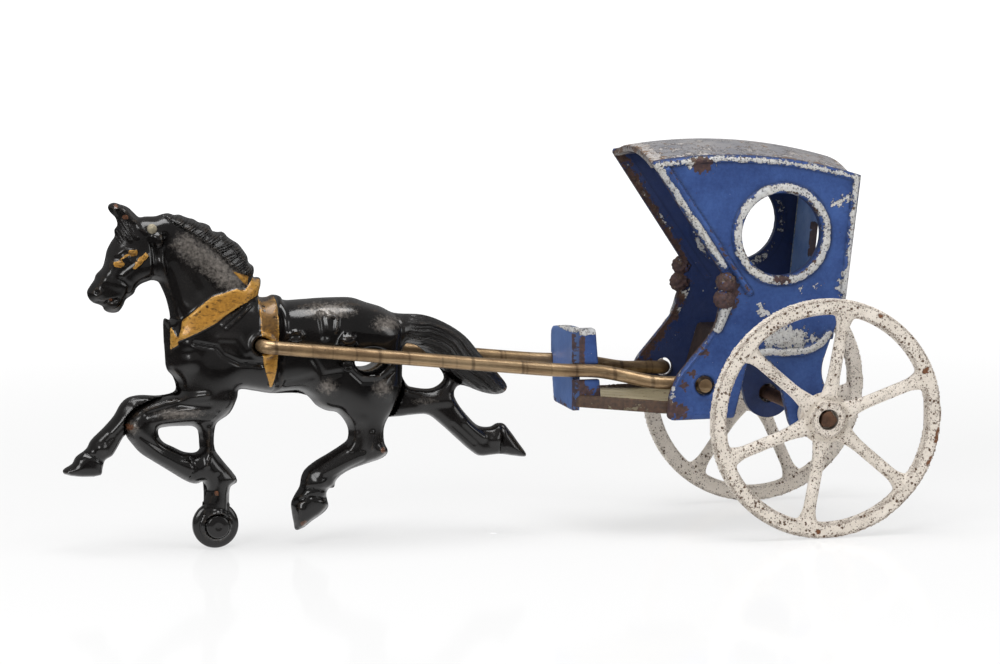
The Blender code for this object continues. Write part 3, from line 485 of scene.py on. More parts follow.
@dataclass
class Plate:
    """A cast plate over a flat shape, with a relief on its front and a plane or relief behind.

    An even grid is laid over the shape, and cells whose middles lie in it are kept. The rim's
    points move on to the outline. Front and back heights are worked out at every point, the front
    is evened out, and a wall joins the two round the rim.
    """

    shape: Union[Loops, SpokedDisc]
    step: float
    front: Callable[[Array], Array]
    back: Union[float, Callable[[Array], Array]]
    lay: Callable[[Array, Array], Array]
    relief: Optional[Callable[[Array], Array]] = None
    evening: int = 0
    ridge_scale: float = 0.25
    masks: Optional[Callable[[Array, Array], Masks]] = None

    def build(self) -> Shell:
        """Build both faces and the wall.

        Returns:
            The shell, with masks for ridges and hollows and those that the plate asks for.
        """
        ends = zip(*self.shape.limits())
        places = [np.arange(low - self.step, high + self.step * 1.5, self.step) for low, high in ends]
        grid = np.stack(np.meshgrid(*places, indexing="ij"), -1)
        middle = (grid[:-1, :-1] + grid[1:, 1:]) / 2
        keep = self.shape.holds(middle.reshape(-1, 2)).reshape(middle.shape[:2])
        used, rim = self.marks(keep, grid.shape[:2])
        flat = grid.reshape(-1, 2).copy()
        flat[rim.ravel()] = self.shape.snap(flat[rim.ravel()])
        number = np.full(used.size, -1)
        number[used.ravel()] = np.arange(int(used.sum()))
        points = flat[used.ravel()]
        top = self.evened(self.front(points), used, rim, self.evening)
        if self.relief:
            top = top + self.relief(points)
        mean = self.evened(top, used, np.zeros_like(rim), 6)
        behind = self.back(points) if callable(self.back) else np.full(len(points), self.back)
        top = np.maximum(top, behind + LEAST_WALL)
        masks = {
            "ridge": np.clip((top - mean) / self.ridge_scale, 0, 1),
            "hollow": np.clip((mean - top) / self.ridge_scale, 0, 1),
        }
        masks.update(self.masks(points, self.shape.depth(points)) if self.masks else {})
        n = len(points)
        number = number.reshape(used.shape)
        cells = self.cells(keep, number)
        faces = np.vstack([cells, cells[:, ::-1] + n, self.walls(keep, number, n)])
        both = np.vstack([self.lay(points, top), self.lay(points, behind)])
        both_masks = {k: np.concatenate([v, v * BEHIND_SHARE]) for k, v in masks.items()}
        both_masks["inner"] = np.concatenate([np.zeros(n), np.ones(n)])
        return Shell(both, faces, both_masks)

    @staticmethod
    def marks(keep: Array, shape: Tuple[int, int]) -> Tuple[Array, Array]:
        """Grid points that any kept cell touches, and those that not all four cells keep."""
        count = np.zeros(shape, int)
        for di in (0, 1):
            for dj in (0, 1):
                count[di:di + keep.shape[0], dj:dj + keep.shape[1]] += keep
        return count > 0, (count > 0) & (count < 4)

    @staticmethod
    def evened(values: Array, used: Array, rim: Array, times: int) -> Array:
        """Each value moved towards the mean of its four neighbours, with the rim held."""
        field_ = np.zeros(used.shape)
        field_[used] = values
        weight = used.astype(float)
        free = used & ~rim
        for _ in range(times):
            total, share = np.zeros(used.shape), np.zeros(used.shape)
            for axis in (0, 1):
                for way in (1, -1):
                    total += np.roll(field_ * weight, way, axis)
                    share += np.roll(weight, way, axis)
            field_[free] = 0.4 * field_[free] + 0.6 * (total / np.maximum(share, 1))[free]
        return field_[used]

    @staticmethod
    def cells(keep: Array, number: Array) -> Array:
        """Corner numbers of the kept cells."""
        i, j = np.nonzero(keep)
        return np.stack([number[i, j], number[i + 1, j], number[i + 1, j + 1], number[i, j + 1]], 1)

    @staticmethod
    def walls(keep: Array, number: Array, n: int) -> Array:
        """Faces between front and back along every edge that only one kept cell has."""
        wide = np.pad(keep, 1)
        found = []
        ways = ((0, -1, (0, 1), (0, 0)), (0, 1, (1, 0), (1, 1)), (1, -1, (0, 0), (1, 0)), (1, 1, (1, 1), (0, 1)))
        for axis, way, a, b in ways:
            other = np.roll(wide, -way, axis)[1:-1, 1:-1]
            i, j = np.nonzero(keep & ~other)
            p, q = number[i + a[0], j + a[1]], number[i + b[0], j + b[1]]
            found.append(np.stack([p, q, q + n, p + n], 1))
        return np.vstack(found)


def make_piece(name: str, shell: Shell, body: str, slot: str, node: str, paint: Paint) -> None:
    """Turn a shell into a piece of the toy, at the origin.

    Args:
        name: the piece's name.
        shell: readings and faces. Repeated points are joined, and faces turned outwards.
        body: CAD body that it rides on.
        slot: the record's material slot; not used.
        node: CAD node that it stands for.
        paint: its material.
    """
    mesh = bpy.data.meshes.new(name)
    mesh.from_pydata(to_frame(shell.points).tolist(), [], shell.faces.tolist())
    for mask, values in shell.masks.items():
        mesh.attributes.new(mask, "FLOAT", "POINT").data.foreach_set("value", values.astype(np.float32))
    work = bmesh.new()
    work.from_mesh(mesh)
    bmesh.ops.remove_doubles(work, verts=work.verts, dist=SAME_POINT)
    bmesh.ops.recalc_face_normals(work, faces=work.faces)
    work.to_mesh(mesh)
    work.free()
    mesh.shade_smooth()
    mesh.set_sharp_from_angle(angle=math.radians(SHARP_EDGE))
    mesh.materials.append(paint)
    piece = bpy.data.objects.new(name, mesh)
    bpy.context.scene.collection.objects.link(piece)
    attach(piece, body)
    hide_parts(node)
    log.info("%s: %d points, rides on %s", name, len(mesh.vertices), body)


# Finishes: shared effects are node groups, and each finish is a small frozen class

def shade(code: str) -> Tuple[float, ...]:
    """Linear colour of a screen colour such as 3a5590."""
    parts = np.array([int(code[i:i + 2], 16) / 255 for i in (0, 2, 4)])
    linear = np.where(parts <= 0.04045, parts / 12.92, ((parts + 0.055) / 1.055) ** 2.4)
    return (*[float(v) for v in linear], 1.0)


@dataclass(frozen=True)
class Value:
    """An output socket that takes part in arithmetic: each operation adds a maths node."""

    desk: "Desk"
    socket: bpy.types.NodeSocket

    def __add__(self, other: object) -> "Value":
        """Sum."""
        return self.desk.maths("ADD", self, other)

    def __sub__(self, other: object) -> "Value":
        """Difference."""
        return self.desk.maths("SUBTRACT", self, other)

    def __mul__(self, other: object) -> "Value":
        """Product."""
        return self.desk.maths("MULTIPLY", self, other)

    def __truediv__(self, other: object) -> "Value":
        """Quotient."""
        return self.desk.maths("DIVIDE", self, other)

    def __or__(self, other: object) -> "Value":
        """The greater of two, as one mask or the other."""
        return self.desk.maths("MAXIMUM", self, other)


class Desk:
    """Adds and joins nodes in one node tree. Colours are given as screen colour codes."""

    def __init__(self, tree: bpy.types.NodeTree) -> None:
        """Keep the tree that the nodes go into, and the vector that its textures follow."""
        self.tree = tree
        self.where: Optional[Value] = None

    def put(self, socket: bpy.types.NodeSocket, value: object) -> None:
        """Link a socket to another, or set its value."""
        if isinstance(value, Value):
            self.tree.links.new(value.socket, socket)
        else:
            socket.default_value = shade(value) if isinstance(value, str) else value

    def outs(self, kind: str, inputs: Dict, *outputs: object, **properties: object) -> List[Value]:
        """Add a node.

        Args:
            kind: its type, without the words ShaderNode.
            inputs: what goes into its sockets, by name or number.
            outputs: names or numbers of the outputs to give back.
            properties: its properties, set first.

        Returns:
            The outputs.
        """
        made = self.tree.nodes.new("ShaderNode" + kind)
        for name, value in properties.items():
            setattr(made, name, value)
        for key, value in inputs.items():
            self.put(made.inputs[key], value)
        return [Value(self, made.outputs[key]) for key in outputs]

    def out(self, kind: str, inputs: Dict, output: object = 0, **properties: object) -> Value:
        """Add a node and give back one output."""
        return self.outs(kind, inputs, output, **properties)[0]

    def maths(self, kind: str, a: object, b: object = 0.0) -> Value:
        """One step of arithmetic."""
        return self.out("Math", {0: a, 1: b}, operation=kind)

    def step(self, value: Value, low: float, high: float) -> Value:
        """Eased step of a value from 0 at low to 1 at high."""
        ends = {"Value": value, "From Min": low, "From Max": high}
        return self.out("MapRange", ends, "Result", interpolation_type="SMOOTHSTEP")

    def noise(self, scale: object, detail: float, rough: float, vector: Optional[Value] = None) -> Value:
        """Cloudy noise at a scale in cycles a metre."""
        inputs = {"Vector": vector or self.where, "Scale": scale, "Detail": detail, "Roughness": rough}
        return self.out("TexNoise", inputs, "Fac")

    def mix(self, share: object, a: object, b: object) -> Value:
        """A colour between two, by a share."""
        return self.out("Mix", {0: share, 6: a, 7: b}, 2, data_type="RGBA")

    def rays(self, *more: str) -> List[Value]:
        """Camera, glossy and transmission rays, and further outputs of the light path."""
        return self.outs("LightPath", {}, "Is Camera Ray", "Is Glossy Ray", "Is Transmission Ray", *more)

    def mask(self, name: str) -> Value:
        """A mask that the mesh carries, 0 where it has none."""
        return self.out("Attribute", {}, "Fac", attribute_name=name)

    def split(self, vector: Value) -> List[Value]:
        """The three parts of a vector."""
        return self.outs("SeparateXYZ", {0: vector}, 0, 1, 2)

    def joined(self, *parts: Value) -> Value:
        """A vector from up to three parts."""
        return self.out("CombineXYZ", dict(enumerate(parts)))


# The shared effects. Each takes its group's desk and inputs, and gives back what the group puts out.

def chips(d: Desk, guide: Value, scale: Value, reach: Value, level: Value, edge: Value) -> Value:
    """Worn patches: two noises added to a guide, and cut off at a level with a narrow edge."""
    coarse, fine = d.noise(scale, 6.0, 0.65) - 0.5, d.noise(scale * 4.3, 4.0, 0.7) - 0.5
    return d.step(((fine * 0.9 + coarse * 1.9) * reach + guide - level) / edge, -1.0, 1.0)


def specks(d: Desk, guide: Value, scale: Value, level: Value, edge: Value) -> Value:
    """Small dark specks: fine noise cut off at a level that a coarse noise raises and lowers."""
    fine, slow = d.noise(scale, 3.0, 0.75), d.noise(scale * 0.13, 3.0, 0.6) - 0.5
    return d.step((slow * 0.35 + fine + guide * 0.2 - level) / edge, -1.0, 1.0)


def skin(d: Desk, scale: Value, pits: Value) -> Value:
    """Height of the pebbled skin of cast iron under paint: coarse and fine noise with small pits."""
    hollows = d.step(d.noise(scale * 0.7, 2.0, 0.5), 0.3, 0.42)
    return d.noise(scale, 4.0, 0.65) * 0.6 + d.noise(scale * 0.25, 4.0, 0.6) + hollows * pits


def clouds(d: Desk, scale: Value, bite: Value) -> Value:
    """Slow change of tone over the surface, from 0 to 1 about a middle of 0.5."""
    return d.out("Clamp", {"Value": (d.noise(scale, 6.0, 0.62) - 0.5) * bite + 0.5})


def runs(d: Desk, scale: Value, level: Value, long: Value) -> Value:
    """Scratches along the first direction of the vector: noise squeezed along it and cut off."""
    x, y, z = d.split(d.where)
    return d.step(d.noise(scale, 5.0, 0.7, d.joined(x * long, y, z)) - level, -0.03, 0.05)


def dots(d: Desk, scale: Value, size: Value, share: Value, guide: Value) -> Value:
    """Separate ragged dots: one in some of the cells, each with a size of its own."""
    shift = d.out("TexNoise", {"Vector": d.where, "Scale": 2600.0, "Detail": 2.0}, "Color")
    moved = d.out("VectorMath", {0: shift, 1: (0.0007,) * 3, 2: d.where}, operation="MULTIPLY_ADD")
    far, colour = d.outs("TexVoronoi", {"Vector": moved, "Scale": scale}, "Distance", "Color", feature="F1")
    chance, width = d.outs("SeparateColor", {0: colour}, 0, 1)
    odds = (d.noise(130.0, 3.0, 0.6) - 0.5) * 1.6 + share + guide
    return d.step(odds - chance, -0.02, 0.06) * d.step(size * (width * 0.75 + 0.45) - far, -0.05, 0.07)


def grouped(effect: Callable[..., Value]) -> bpy.types.NodeTree:
    """A shader node group round an effect.

    Args:
        effect: the function that adds the group's nodes. Its inputs beside the desk become the
            group's, with a vector.

    Returns:
        The group, which puts out one value.
    """
    names = list(signature(effect).parameters)[1:]
    tree = bpy.data.node_groups.new(effect.__name__, "ShaderNodeTree")
    for key in ("vector", *names):
        kind = "NodeSocketVector" if key == "vector" else "NodeSocketFloat"
        tree.interface.new_socket(key, in_out="INPUT", socket_type=kind)
    tree.interface.new_socket("value", in_out="OUTPUT", socket_type="NodeSocketFloat")
    desk = Desk(tree)
    start, end = tree.nodes.new("NodeGroupInput"), tree.nodes.new("NodeGroupOutput")
    desk.where = Value(desk, start.outputs["vector"])
    desk.put(end.inputs["value"], effect(desk, *(Value(desk, start.outputs[key]) for key in names)))
    return tree


class Bench(Desk):
    """The nodes of one material: its Principled shader, Object coordinates and shared effects."""

    def __init__(self, name: str, effects: Optional[Effects] = None) -> None:
        """Start a material."""
        self.material = bpy.data.materials.new(name)
        self.material.use_nodes = True
        super().__init__(self.material.node_tree)
        self.effects = effects
        self.shader = self.tree.nodes["Principled BSDF"]
        self.where = self.out("TexCoord", {}, "Object")

    def use(self, effect: Callable[..., Value], **inputs: object) -> Value:
        """Place a shared effect, over the Object coordinates unless a vector is given."""
        return self.out("Group", {"vector": self.where, **inputs}, node_tree=self.effects[effect])

    def tones(self, slow: float, deep: float, fast: float, keen: float) -> List[Value]:
        """Slow and fine clouds, each by its scale and its bite."""
        return [self.use(clouds, scale=s, bite=b) for s, b in ((slow, deep), (fast, keen))]

    def dress(self, height: Value, depth: float, **inputs: object) -> Paint:
        """Feed the shader.

        Args:
            height: what its normal is bumped by.
            depth: the bump's depth in metres.
            inputs: its other inputs, by names with _ for a space.

        Returns:
            The material.
        """
        normal = self.out("Bump", {"Strength": 1.0, "Distance": depth, "Height": height}, "Normal")
        for key, value in {"Normal": normal, **inputs}.items():
            self.put(self.shader.inputs[key.replace("_", " ")], value)
        return self.material


@dataclass(frozen=True)
class BlueEnamel:
    """Worn blue paint over a pale ground coat and rusting iron."""

    name: str = "worn_blue_enamel"
    deep: str = "20366c"
    light: str = "40609f"
    ground: str = "c9cbcd"
    cream: str = "dedad0"
    rust: str = "63442f"
    # The inner colours below paint the backs of plates darker: painted shade on inner faces and undersides, with brown
    # staining.
    inner: str = "1f2d58"
    stain: str = "332b35"
    wear: float = 0.0
    rusting: float = 0.0

    def make(self, effects: Effects) -> Paint:
        """Build the material: mottled blue, chips to the ground coat on ridges, rust in patches, darker blue on backs
        and in hollows as painted shade, and a lighter blue as painted light where the fade mask says.
        """
        d = Bench(self.name, effects)
        tone, grain = d.tones(90.0, 2.6, 900.0, 1.9)
        ridge = d.mask("ridge")
        guide = (ridge * 0.42 | d.mask("white")) + d.mask("calm") * -0.6
        chipped, wide = (d.use(chips, guide=guide + (self.wear + more), scale=330.0, reach=0.85, level=0.52, edge=0.02)
                         for more in (0.0, 0.08))
        halo = wide - chipped
        chipped = chipped | d.use(specks, scale=950.0, level=0.75, edge=0.015)
        rusted = d.use(chips, guide=ridge * 0.12 + d.mask("rust") + self.rusting,
                       scale=300.0, reach=0.75, level=0.5, edge=0.035)
        rusted = rusted | d.use(specks, guide=ridge, scale=620.0, level=0.74, edge=0.02)
        grime = d.use(chips, guide=0.36, scale=640.0, reach=0.8, level=0.5, edge=0.1)
        pits = d.use(dots, scale=1500.0, size=0.44, share=0.52)
        blue = d.mix(grain * 0.4 + tone * 0.6, self.deep, self.light)
        # Backs of plates mix towards the darker inner colours: painted shade, with brown staining.
        blue = d.mix(d.mask("inner") * 0.6, blue, d.mix(tone, self.inner, self.stain))
        # A lighter blue where the fade mask says: painted light on the back's inner face and on the dash.
        blue = d.mix(d.mask("faded"), blue, d.mix(tone, "6489cc", "98b6e6"))
        blue = d.mix(halo * 0.7, blue, "2a2427")
        pale = d.mix(tone, self.ground, self.cream)
        for share, code in ((grain * 0.5, "85878f"), (grime * 0.55, "6b6054"), (pits * 0.75, "3f3d44")):
            pale = d.mix(share, pale, code)
        colour = d.mix(rusted * 0.92, d.mix(chipped, blue, pale), d.mix(grain, "2e2420", self.rust))
        # Hollows are darkened towards navy: painted shade.
        return d.dress(
            d.use(skin, scale=1700.0, pits=0.3) + chipped * -0.8 + rusted * -0.5, 0.00009,
            Base_Color=d.mix(d.mask("hollow") * 0.6, colour, "151b2c"),
            Roughness=grain * 0.14 + chipped * 0.15 + rusted * 0.3 + 0.36, Specular_IOR_Level=0.4,
        )


@dataclass(frozen=True)
class BlackEnamel:
    """Glossy black paint on cast iron, with worn gold paint on the harness."""

    name: str = "glossy_black_enamel"
    black: str = "070606"
    brown: str = "40352a"
    gold: str = "c58d36"

    def make(self, effects: Effects) -> Paint:
        """Build the material: black with brown wear on ridges, grey patches of painted sheen and glints, and gold where
        the mask says.
        """
        d = Bench(self.name, effects)
        tone, grain = d.tones(80.0, 2.6, 1100.0, 2.2)
        ridge, sheen, faded, hair, phase = (d.mask(m) for m in ("ridge", "sheen", "faded", "hair", "phase"))
        patch = d.use(chips, guide=sheen, scale=900.0, reach=0.6, level=0.5, edge=0.3) * d.step(sheen, 0.03, 0.3)
        rub = d.use(chips, guide=ridge * 0.45, scale=420.0, reach=0.5, level=0.5, edge=0.12)
        bare = d.use(chips, guide=d.mask("rust"), scale=500.0, reach=0.7, level=0.52, edge=0.05)
        dark = d.mix(tone, self.black, "151211")
        # Grey patches over the black where the sheen mask says: painted sheen and glints.
        dark = d.mix(patch * 0.7, dark, d.mix(grain, "322e2c", "a29a92"))
        dark = d.mix(rub * 0.5, dark, self.brown)
        dark = d.mix(bare * 0.85, dark, d.mix(grain, "38261c", "7d5138"))
        scuffs = d.use(runs, scale=1300.0, level=0.56, long=0.3)
        dulled = d.use(chips, guide=faded, scale=420.0, reach=0.7, level=0.5, edge=0.12)
        yellow = d.mix(grain * 0.6 + tone * 0.4, "6e4a17", self.gold)
        yellow = d.mix(ridge * 0.6, yellow, "c79a4c")
        yellow = d.mix(scuffs * 0.7, yellow, "3d2810")
        yellow = d.mix(dulled * 0.8, yellow, d.mix(grain, "33281c", "6a4e2c"))
        lost = d.use(dots, scale=900.0, size=0.45, share=0.05, guide=faded * 0.3)
        held = d.use(chips, guide=d.mask("gold"), scale=700.0, reach=0.42, level=0.5, edge=0.05)
        held = held * (lost * -0.85 + 1.0) * (d.mask("hollow") * -0.9 + 1.0)
        wave = d.maths("COSINE", phase * (2 * math.pi))
        fine = d.noise(900.0, 3.0, 0.7, d.joined(phase * 0.004))
        strands = hair * wave * 1.3 + hair * fine * 2.5
        return d.dress(
            held * 0.4 + d.use(skin, scale=1300.0, pits=0.35) * 0.17 + strands, 0.00013,
            Base_Color=d.mix(held, dark, yellow), Metallic=patch * 0.3 + held * 0.25,
            Roughness=tone * 0.16 + grain * 0.08 + patch * 0.12 + held * 0.16 + 0.1,
            Specular_IOR_Level=0.33, Coat_Weight=0.28, Coat_Roughness=0.1,
        )


@dataclass(frozen=True)
class SpeckledCream:
    """Pinkish cream paint, densely flecked with brown where it has worn to the iron."""

    name: str = "speckled_cream_paint"
    cream: str = "ece2d6"
    grey: str = "cfc4b6"
    fleck: str = "735a45"

    def make(self, effects: Effects) -> Paint:
        """Build the material: cream clouds, two sizes of fleck, and rust lines along the ridges."""
        d = Bench(self.name, effects)
        tone, grain = d.tones(110.0, 2.2, 1300.0, 1.6)
        ridge = d.mask("ridge")
        cream = d.mix(tone, self.grey, self.cream)
        cream = d.mix(grain * 0.35, cream, "f3ede4")
        # Darker brownish cream where the hollow mask says: on the wheels, the ring round the hub.
        cream = d.mix(d.mask("hollow") * 0.55, cream, "8a7a5e")
        fine = d.use(dots, scale=1600.0, size=0.4, share=0.52, guide=ridge * 0.25)
        bold = d.use(dots, scale=900.0, size=0.37, share=0.27, guide=ridge * 0.2)
        dust = d.use(specks, scale=2300.0, guide=ridge, level=0.64, edge=0.03)
        line = d.use(chips, guide=ridge * 0.3 | d.mask("line"), scale=500.0, reach=0.5, level=0.6, edge=0.06)
        orange = d.use(chips, guide=d.mask("rust"), scale=420.0, reach=0.6, level=0.52, edge=0.06)
        brown = d.mix(orange, d.mix(grain, "3f3026", self.fleck), d.mix(grain, "4a3020", "8a5a3a"))
        dark = (fine | dust * 0.6) * 0.85 | bold | line | orange
        return d.dress(
            d.use(skin, scale=1500.0, pits=0.4) + dark * -0.9, 0.0001, Base_Color=d.mix(dark, cream, brown),
            Roughness=dark * 0.22 + 0.5, Specular_IOR_Level=0.4,
        )


@dataclass(frozen=True)
class DrawnWire:
    """Brown drawn wire with tan rub marks, partly painted highlights, and dark bands."""

    name: str = "brown_drawn_wire"
    slope: float = 0.117

    def make(self, effects: Effects) -> Paint:
        """Build the material: brown metal, lighter scratches along the wire that partly stand for painted highlights,
        and dark rust bands.
        """
        d = Bench(self.name, effects)
        x, y, z = d.split(d.where)
        along = d.joined(x, y, x * self.slope + z)
        tone, grain = d.tones(160.0, 2.4, 1500.0, 1.6)
        marks = d.use(runs, vector=along, scale=1100.0, level=0.54, long=0.02)
        bands = d.step(d.noise(260.0, 2.0, 0.6, d.joined(x)), 0.54, 0.66)
        rusted = d.use(chips, vector=along, guide=0.3, scale=330.0, reach=0.5, level=0.5, edge=0.06)
        metal = d.mix(tone, "735b43", "b39772")
        # The tan streaks are partly rub marks and partly painted highlights along the wire.
        for share, code in ((marks * 0.55, "c4ab88"), (bands * 0.6, "33241a"), (rusted * 0.8, "3f2b1e"),
                            (grain * 0.2, "3c2a1e")):
            metal = d.mix(share, metal, code)
        return d.dress(
            d.use(skin, scale=1900.0, pits=0.3), 0.00005, Base_Color=metal,
            Roughness=rusted * 0.25 + 0.38, Metallic=rusted * -0.5 + 0.8,
        )


@dataclass(frozen=True)
class RustedIron:
    """Bare iron, rusted brown and orange, with dark pits."""

    name: str = "rusted_iron"
    dark: str = "3b2a20"
    bright: str = "8c5a38"
    shine: float = 0.35

    def make(self, effects: Effects) -> Paint:
        """Build the material: brown and orange clouds with rubbed grey metal on high spots."""
        d = Bench(self.name, effects)
        tone, grain = d.tones(260.0, 2.4, 1600.0, 2.0)
        rubbed = d.use(chips, guide=d.mask("ridge") * 0.5, scale=600.0, reach=0.8, level=0.55, edge=0.08)
        brown = d.mix(tone * 0.6 + grain * 0.4, self.dark, self.bright)
        return d.dress(
            d.use(skin, scale=2100.0, pits=0.6), 0.0001, Base_Color=d.mix(rubbed * 0.7, brown, "9c8e7e"),
            Roughness=rubbed * -0.2 + 0.62, Metallic=rubbed * 0.4 + self.shine,
        )


# Sub-assemblies. A line's readings are (place, height). A station is (place, height, half width,
# reach), and a spot is (place, height, size).

HEAD: Line = (
    (-185.8, 66.6), (-186.4, 71.6), (-187.8, 75.5), (-189.0, 77.6), (-190.9, 78.2), (-192.6, 77.8), (-194.3, 77.1),
    (-195.5, 76.0), (-196.2, 74.6), (-197.9, 73.4), (-198.6, 72.8), (-199.4, 71.1), (-200.8, 69.5), (-202.7, 69.3),
    (-204.4, 69.9), (-205.1, 71.1), (-206.3, 71.8), (-207.9, 72.4), (-209.1, 73.8), (-209.4, 75.5), (-208.5, 77.1),
    (-207.3, 78.8), (-206.8, 80.2), (-204.9, 82.2), (-204.1, 84.6), (-203.6, 86.9), (-202.4, 89.3), (-201.2, 91.1),
    (-201.3, 92.8), (-200.4, 94.2), (-200.9, 96.3), (-202.3, 97.8), (-203.0, 99.1), (-202.7, 100.1), (-201.3, 100.6),
    (-199.6, 100.1), (-197.5, 99.3), (-196.1, 98.0), (-194.2, 96.3), (-192.3, 96.4), (-189.4, 96.4), (-187.5, 96.9),
    (-185.6, 97.1), (-184.1, 96.6), (-182.5, 96.6), (-181.0, 96.0), (-179.6, 95.5), (-178.4, 95.2), (-177.0, 94.3),
    (-175.6, 94.0), (-174.1, 93.3), (-173.2, 91.8), (-171.5, 91.3), (-170.1, 91.3), (-168.9, 90.0), (-167.7, 89.1),
    (-166.0, 88.0), (-164.8, 86.6), (-164.1, 85.6), (-163.2, 84.1), (-162.9, 82.5), (-161.5, 81.2), (-161.3, 79.8),
    (-161.5, 78.1), (-159.6, 77.8), (-159.4, 75.9), (-159.9, 74.0), (-160.0, 72.4),
)
BACK: Line = (
    (-157.6, 72.1), (-155.8, 72.7), (-153.7, 72.2), (-152.9, 71.2), (-147.7, 71.1), (-142.4, 71.3), (-137.1, 71.3),
    (-132.4, 71.0), (-128.2, 69.5), (-124.0, 68.1), (-120.8, 66.4), (-118.7, 65.9), (-111.2, 65.2), (-104.7, 62.6),
    (-99.0, 58.6), (-94.2, 52.8), (-89.1, 47.2), (-86.5, 43.2), (-87.5, 41.7), (-90.0, 41.2),
)
NEAR_HIND: Line = (
    (-94.0, 42.0), (-99.7, 44.6), (-106.2, 49.4), (-113.2, 56.4), (-116.9, 57.0), (-117.9, 50.0), (-118.1, 43.9),
    (-119.4, 40.6), (-120.9, 37.3), (-122.4, 35.4), (-123.4, 33.0), (-123.6, 30.6), (-123.3, 28.2), (-122.4, 26.2),
    (-122.7, 25.0), (-124.4, 23.8), (-128.4, 22.6), (-133.8, 20.9), (-136.8, 19.1), (-138.0, 17.7), (-138.5, 16.0),
    (-139.8, 15.8), (-140.7, 14.4), (-140.5, 12.5), (-140.2, 10.5), (-141.8, 8.6), (-145.2, 6.4), (-147.7, 4.6),
    (-149.9, 4.1), (-150.4, 6.1), (-151.0, 9.6), (-151.1, 12.0), (-150.0, 14.4), (-148.6, 16.7), (-148.0, 19.6),
    (-147.0, 21.5), (-144.1, 23.8), (-140.1, 26.0), (-136.2, 28.3), (-134.5, 29.6), (-134.0, 31.1), (-134.2, 33.5),
    (-135.9, 36.5), (-137.6, 38.0), (-140.5, 38.6), (-143.4, 40.2), (-145.3, 42.4), (-147.3, 44.0), (-150.2, 44.8),
    (-154.6, 44.4), (-157.4, 44.4), (-161.6, 45.2), (-166.1, 45.7),
)
NEAR_FRONT: Line = (
    (-166.6, 43.5), (-168.9, 39.0), (-172.5, 36.5), (-173.2, 35.1), (-173.4, 28.9), (-171.5, 25.9), (-166.9, 19.2),
    (-168.9, 17.6), (-169.4, 13.4),
)
NEAR_RISE: Line = (
    (-176.6, 14.2), (-175.9, 17.4), (-177.1, 19.4), (-178.6, 19.0), (-180.2, 19.2), (-182.4, 20.2), (-184.6, 21.6),
    (-187.9, 23.8), (-191.7, 26.3), (-195.0, 28.6), (-197.4, 31.4), (-199.0, 33.8), (-199.4, 37.7), (-198.7, 39.6),
    (-196.7, 41.6),
    (-194.3, 42.5), (-192.9, 43.1), (-187.6, 44.6), (-183.8, 45.5), (-183.9, 48.5), (-185.6, 51.0), (-186.8, 52.4),
    (-187.3, 57.5), (-187.6, 62.8), (-187.3, 67.0),
)
LEG_GAP: Line = (
    (-189.6, 35.3), (-187.7, 35.8), (-182.9, 35.9), (-179.5, 35.6), (-178.2, 34.4), (-177.7, 31.9), (-177.8, 29.1),
    (-178.9, 28.1), (-182.1, 28.3), (-185.4, 29.9), (-188.3, 31.5), (-189.6, 33.4),
)
FAR_HIND: Line = (
    (-93.0, 41.8), (-97.4, 43.4), (-100.6, 44.2), (-101.9, 43.2), (-102.3, 41.6), (-101.3, 39.1), (-98.3, 35.1),
    (-94.9, 32.0), (-91.4, 31.6), (-89.4, 32.5), (-87.4, 32.3), (-85.9, 30.6), (-83.4, 27.1), (-80.6, 22.5),
    (-84.4, 22.7), (-88.4, 23.4), (-90.9, 23.3), (-94.9, 23.2), (-97.4, 24.8), (-101.9, 28.9), (-106.3, 33.0),
    (-110.3, 36.0), (-115.2, 36.1), (-119.7, 35.8), (-131.0, 36.4), (-140.5, 40.6), (-147.8, 43.7), (-156.8, 44.2),
    (-166.7, 45.6),
)
FAR_TAIL_GAP: Line = (
    (-117.4, 57.0), (-118.4, 50.0), (-116.2, 44.9), (-114.2, 44.1), (-109.2, 43.6), (-106.5, 44.8), (-105.2, 46.8),
    (-108.0, 51.2), (-113.2, 56.2),
)
FAR_FRONT: Line = ((-170.2, 40.5), (-173.2, 35.1), (-173.4, 28.9), (-170.6, 21.0), (-169.4, 13.4))
FAR_RISE: Line = (
    (-176.6, 14.2), (-176.8, 20.0), (-177.6, 28.7), (-178.6, 35.4), (-184.0, 37.0), (-191.4, 35.9), (-198.8, 34.2),
    (-201.7, 30.0), (-203.0, 28.1), (-205.1, 26.8), (-205.9, 24.4), (-206.4, 22.6), (-216.9, 23.4), (-217.2, 24.5),
    (-214.5, 26.3), (-213.5, 28.1), (-210.4, 30.4), (-209.1, 32.7), (-205.2, 36.4), (-202.3, 39.6), (-200.3, 42.9),
    (-198.4, 44.5), (-195.0, 45.2), (-188.8, 44.9), (-184.4, 46.2), (-185.0, 50.0), (-186.8, 52.4), (-187.3, 57.5),
    (-187.6, 62.8), (-187.3, 67.0),
)
MANE_LINE: Line = (
    (-188.6, 97.2), (-183.4, 93.7), (-178.7, 90.7), (-173.9, 87.3), (-169.7, 82.8), (-166.8, 80.4), (-163.5, 78.3),
)
TAIL_LINE: Line = ((-119.0, 62.5), (-110.5, 61.0), (-103.0, 56.6), (-97.0, 50.4), (-91.0, 44.2), (-87.0, 42.2))
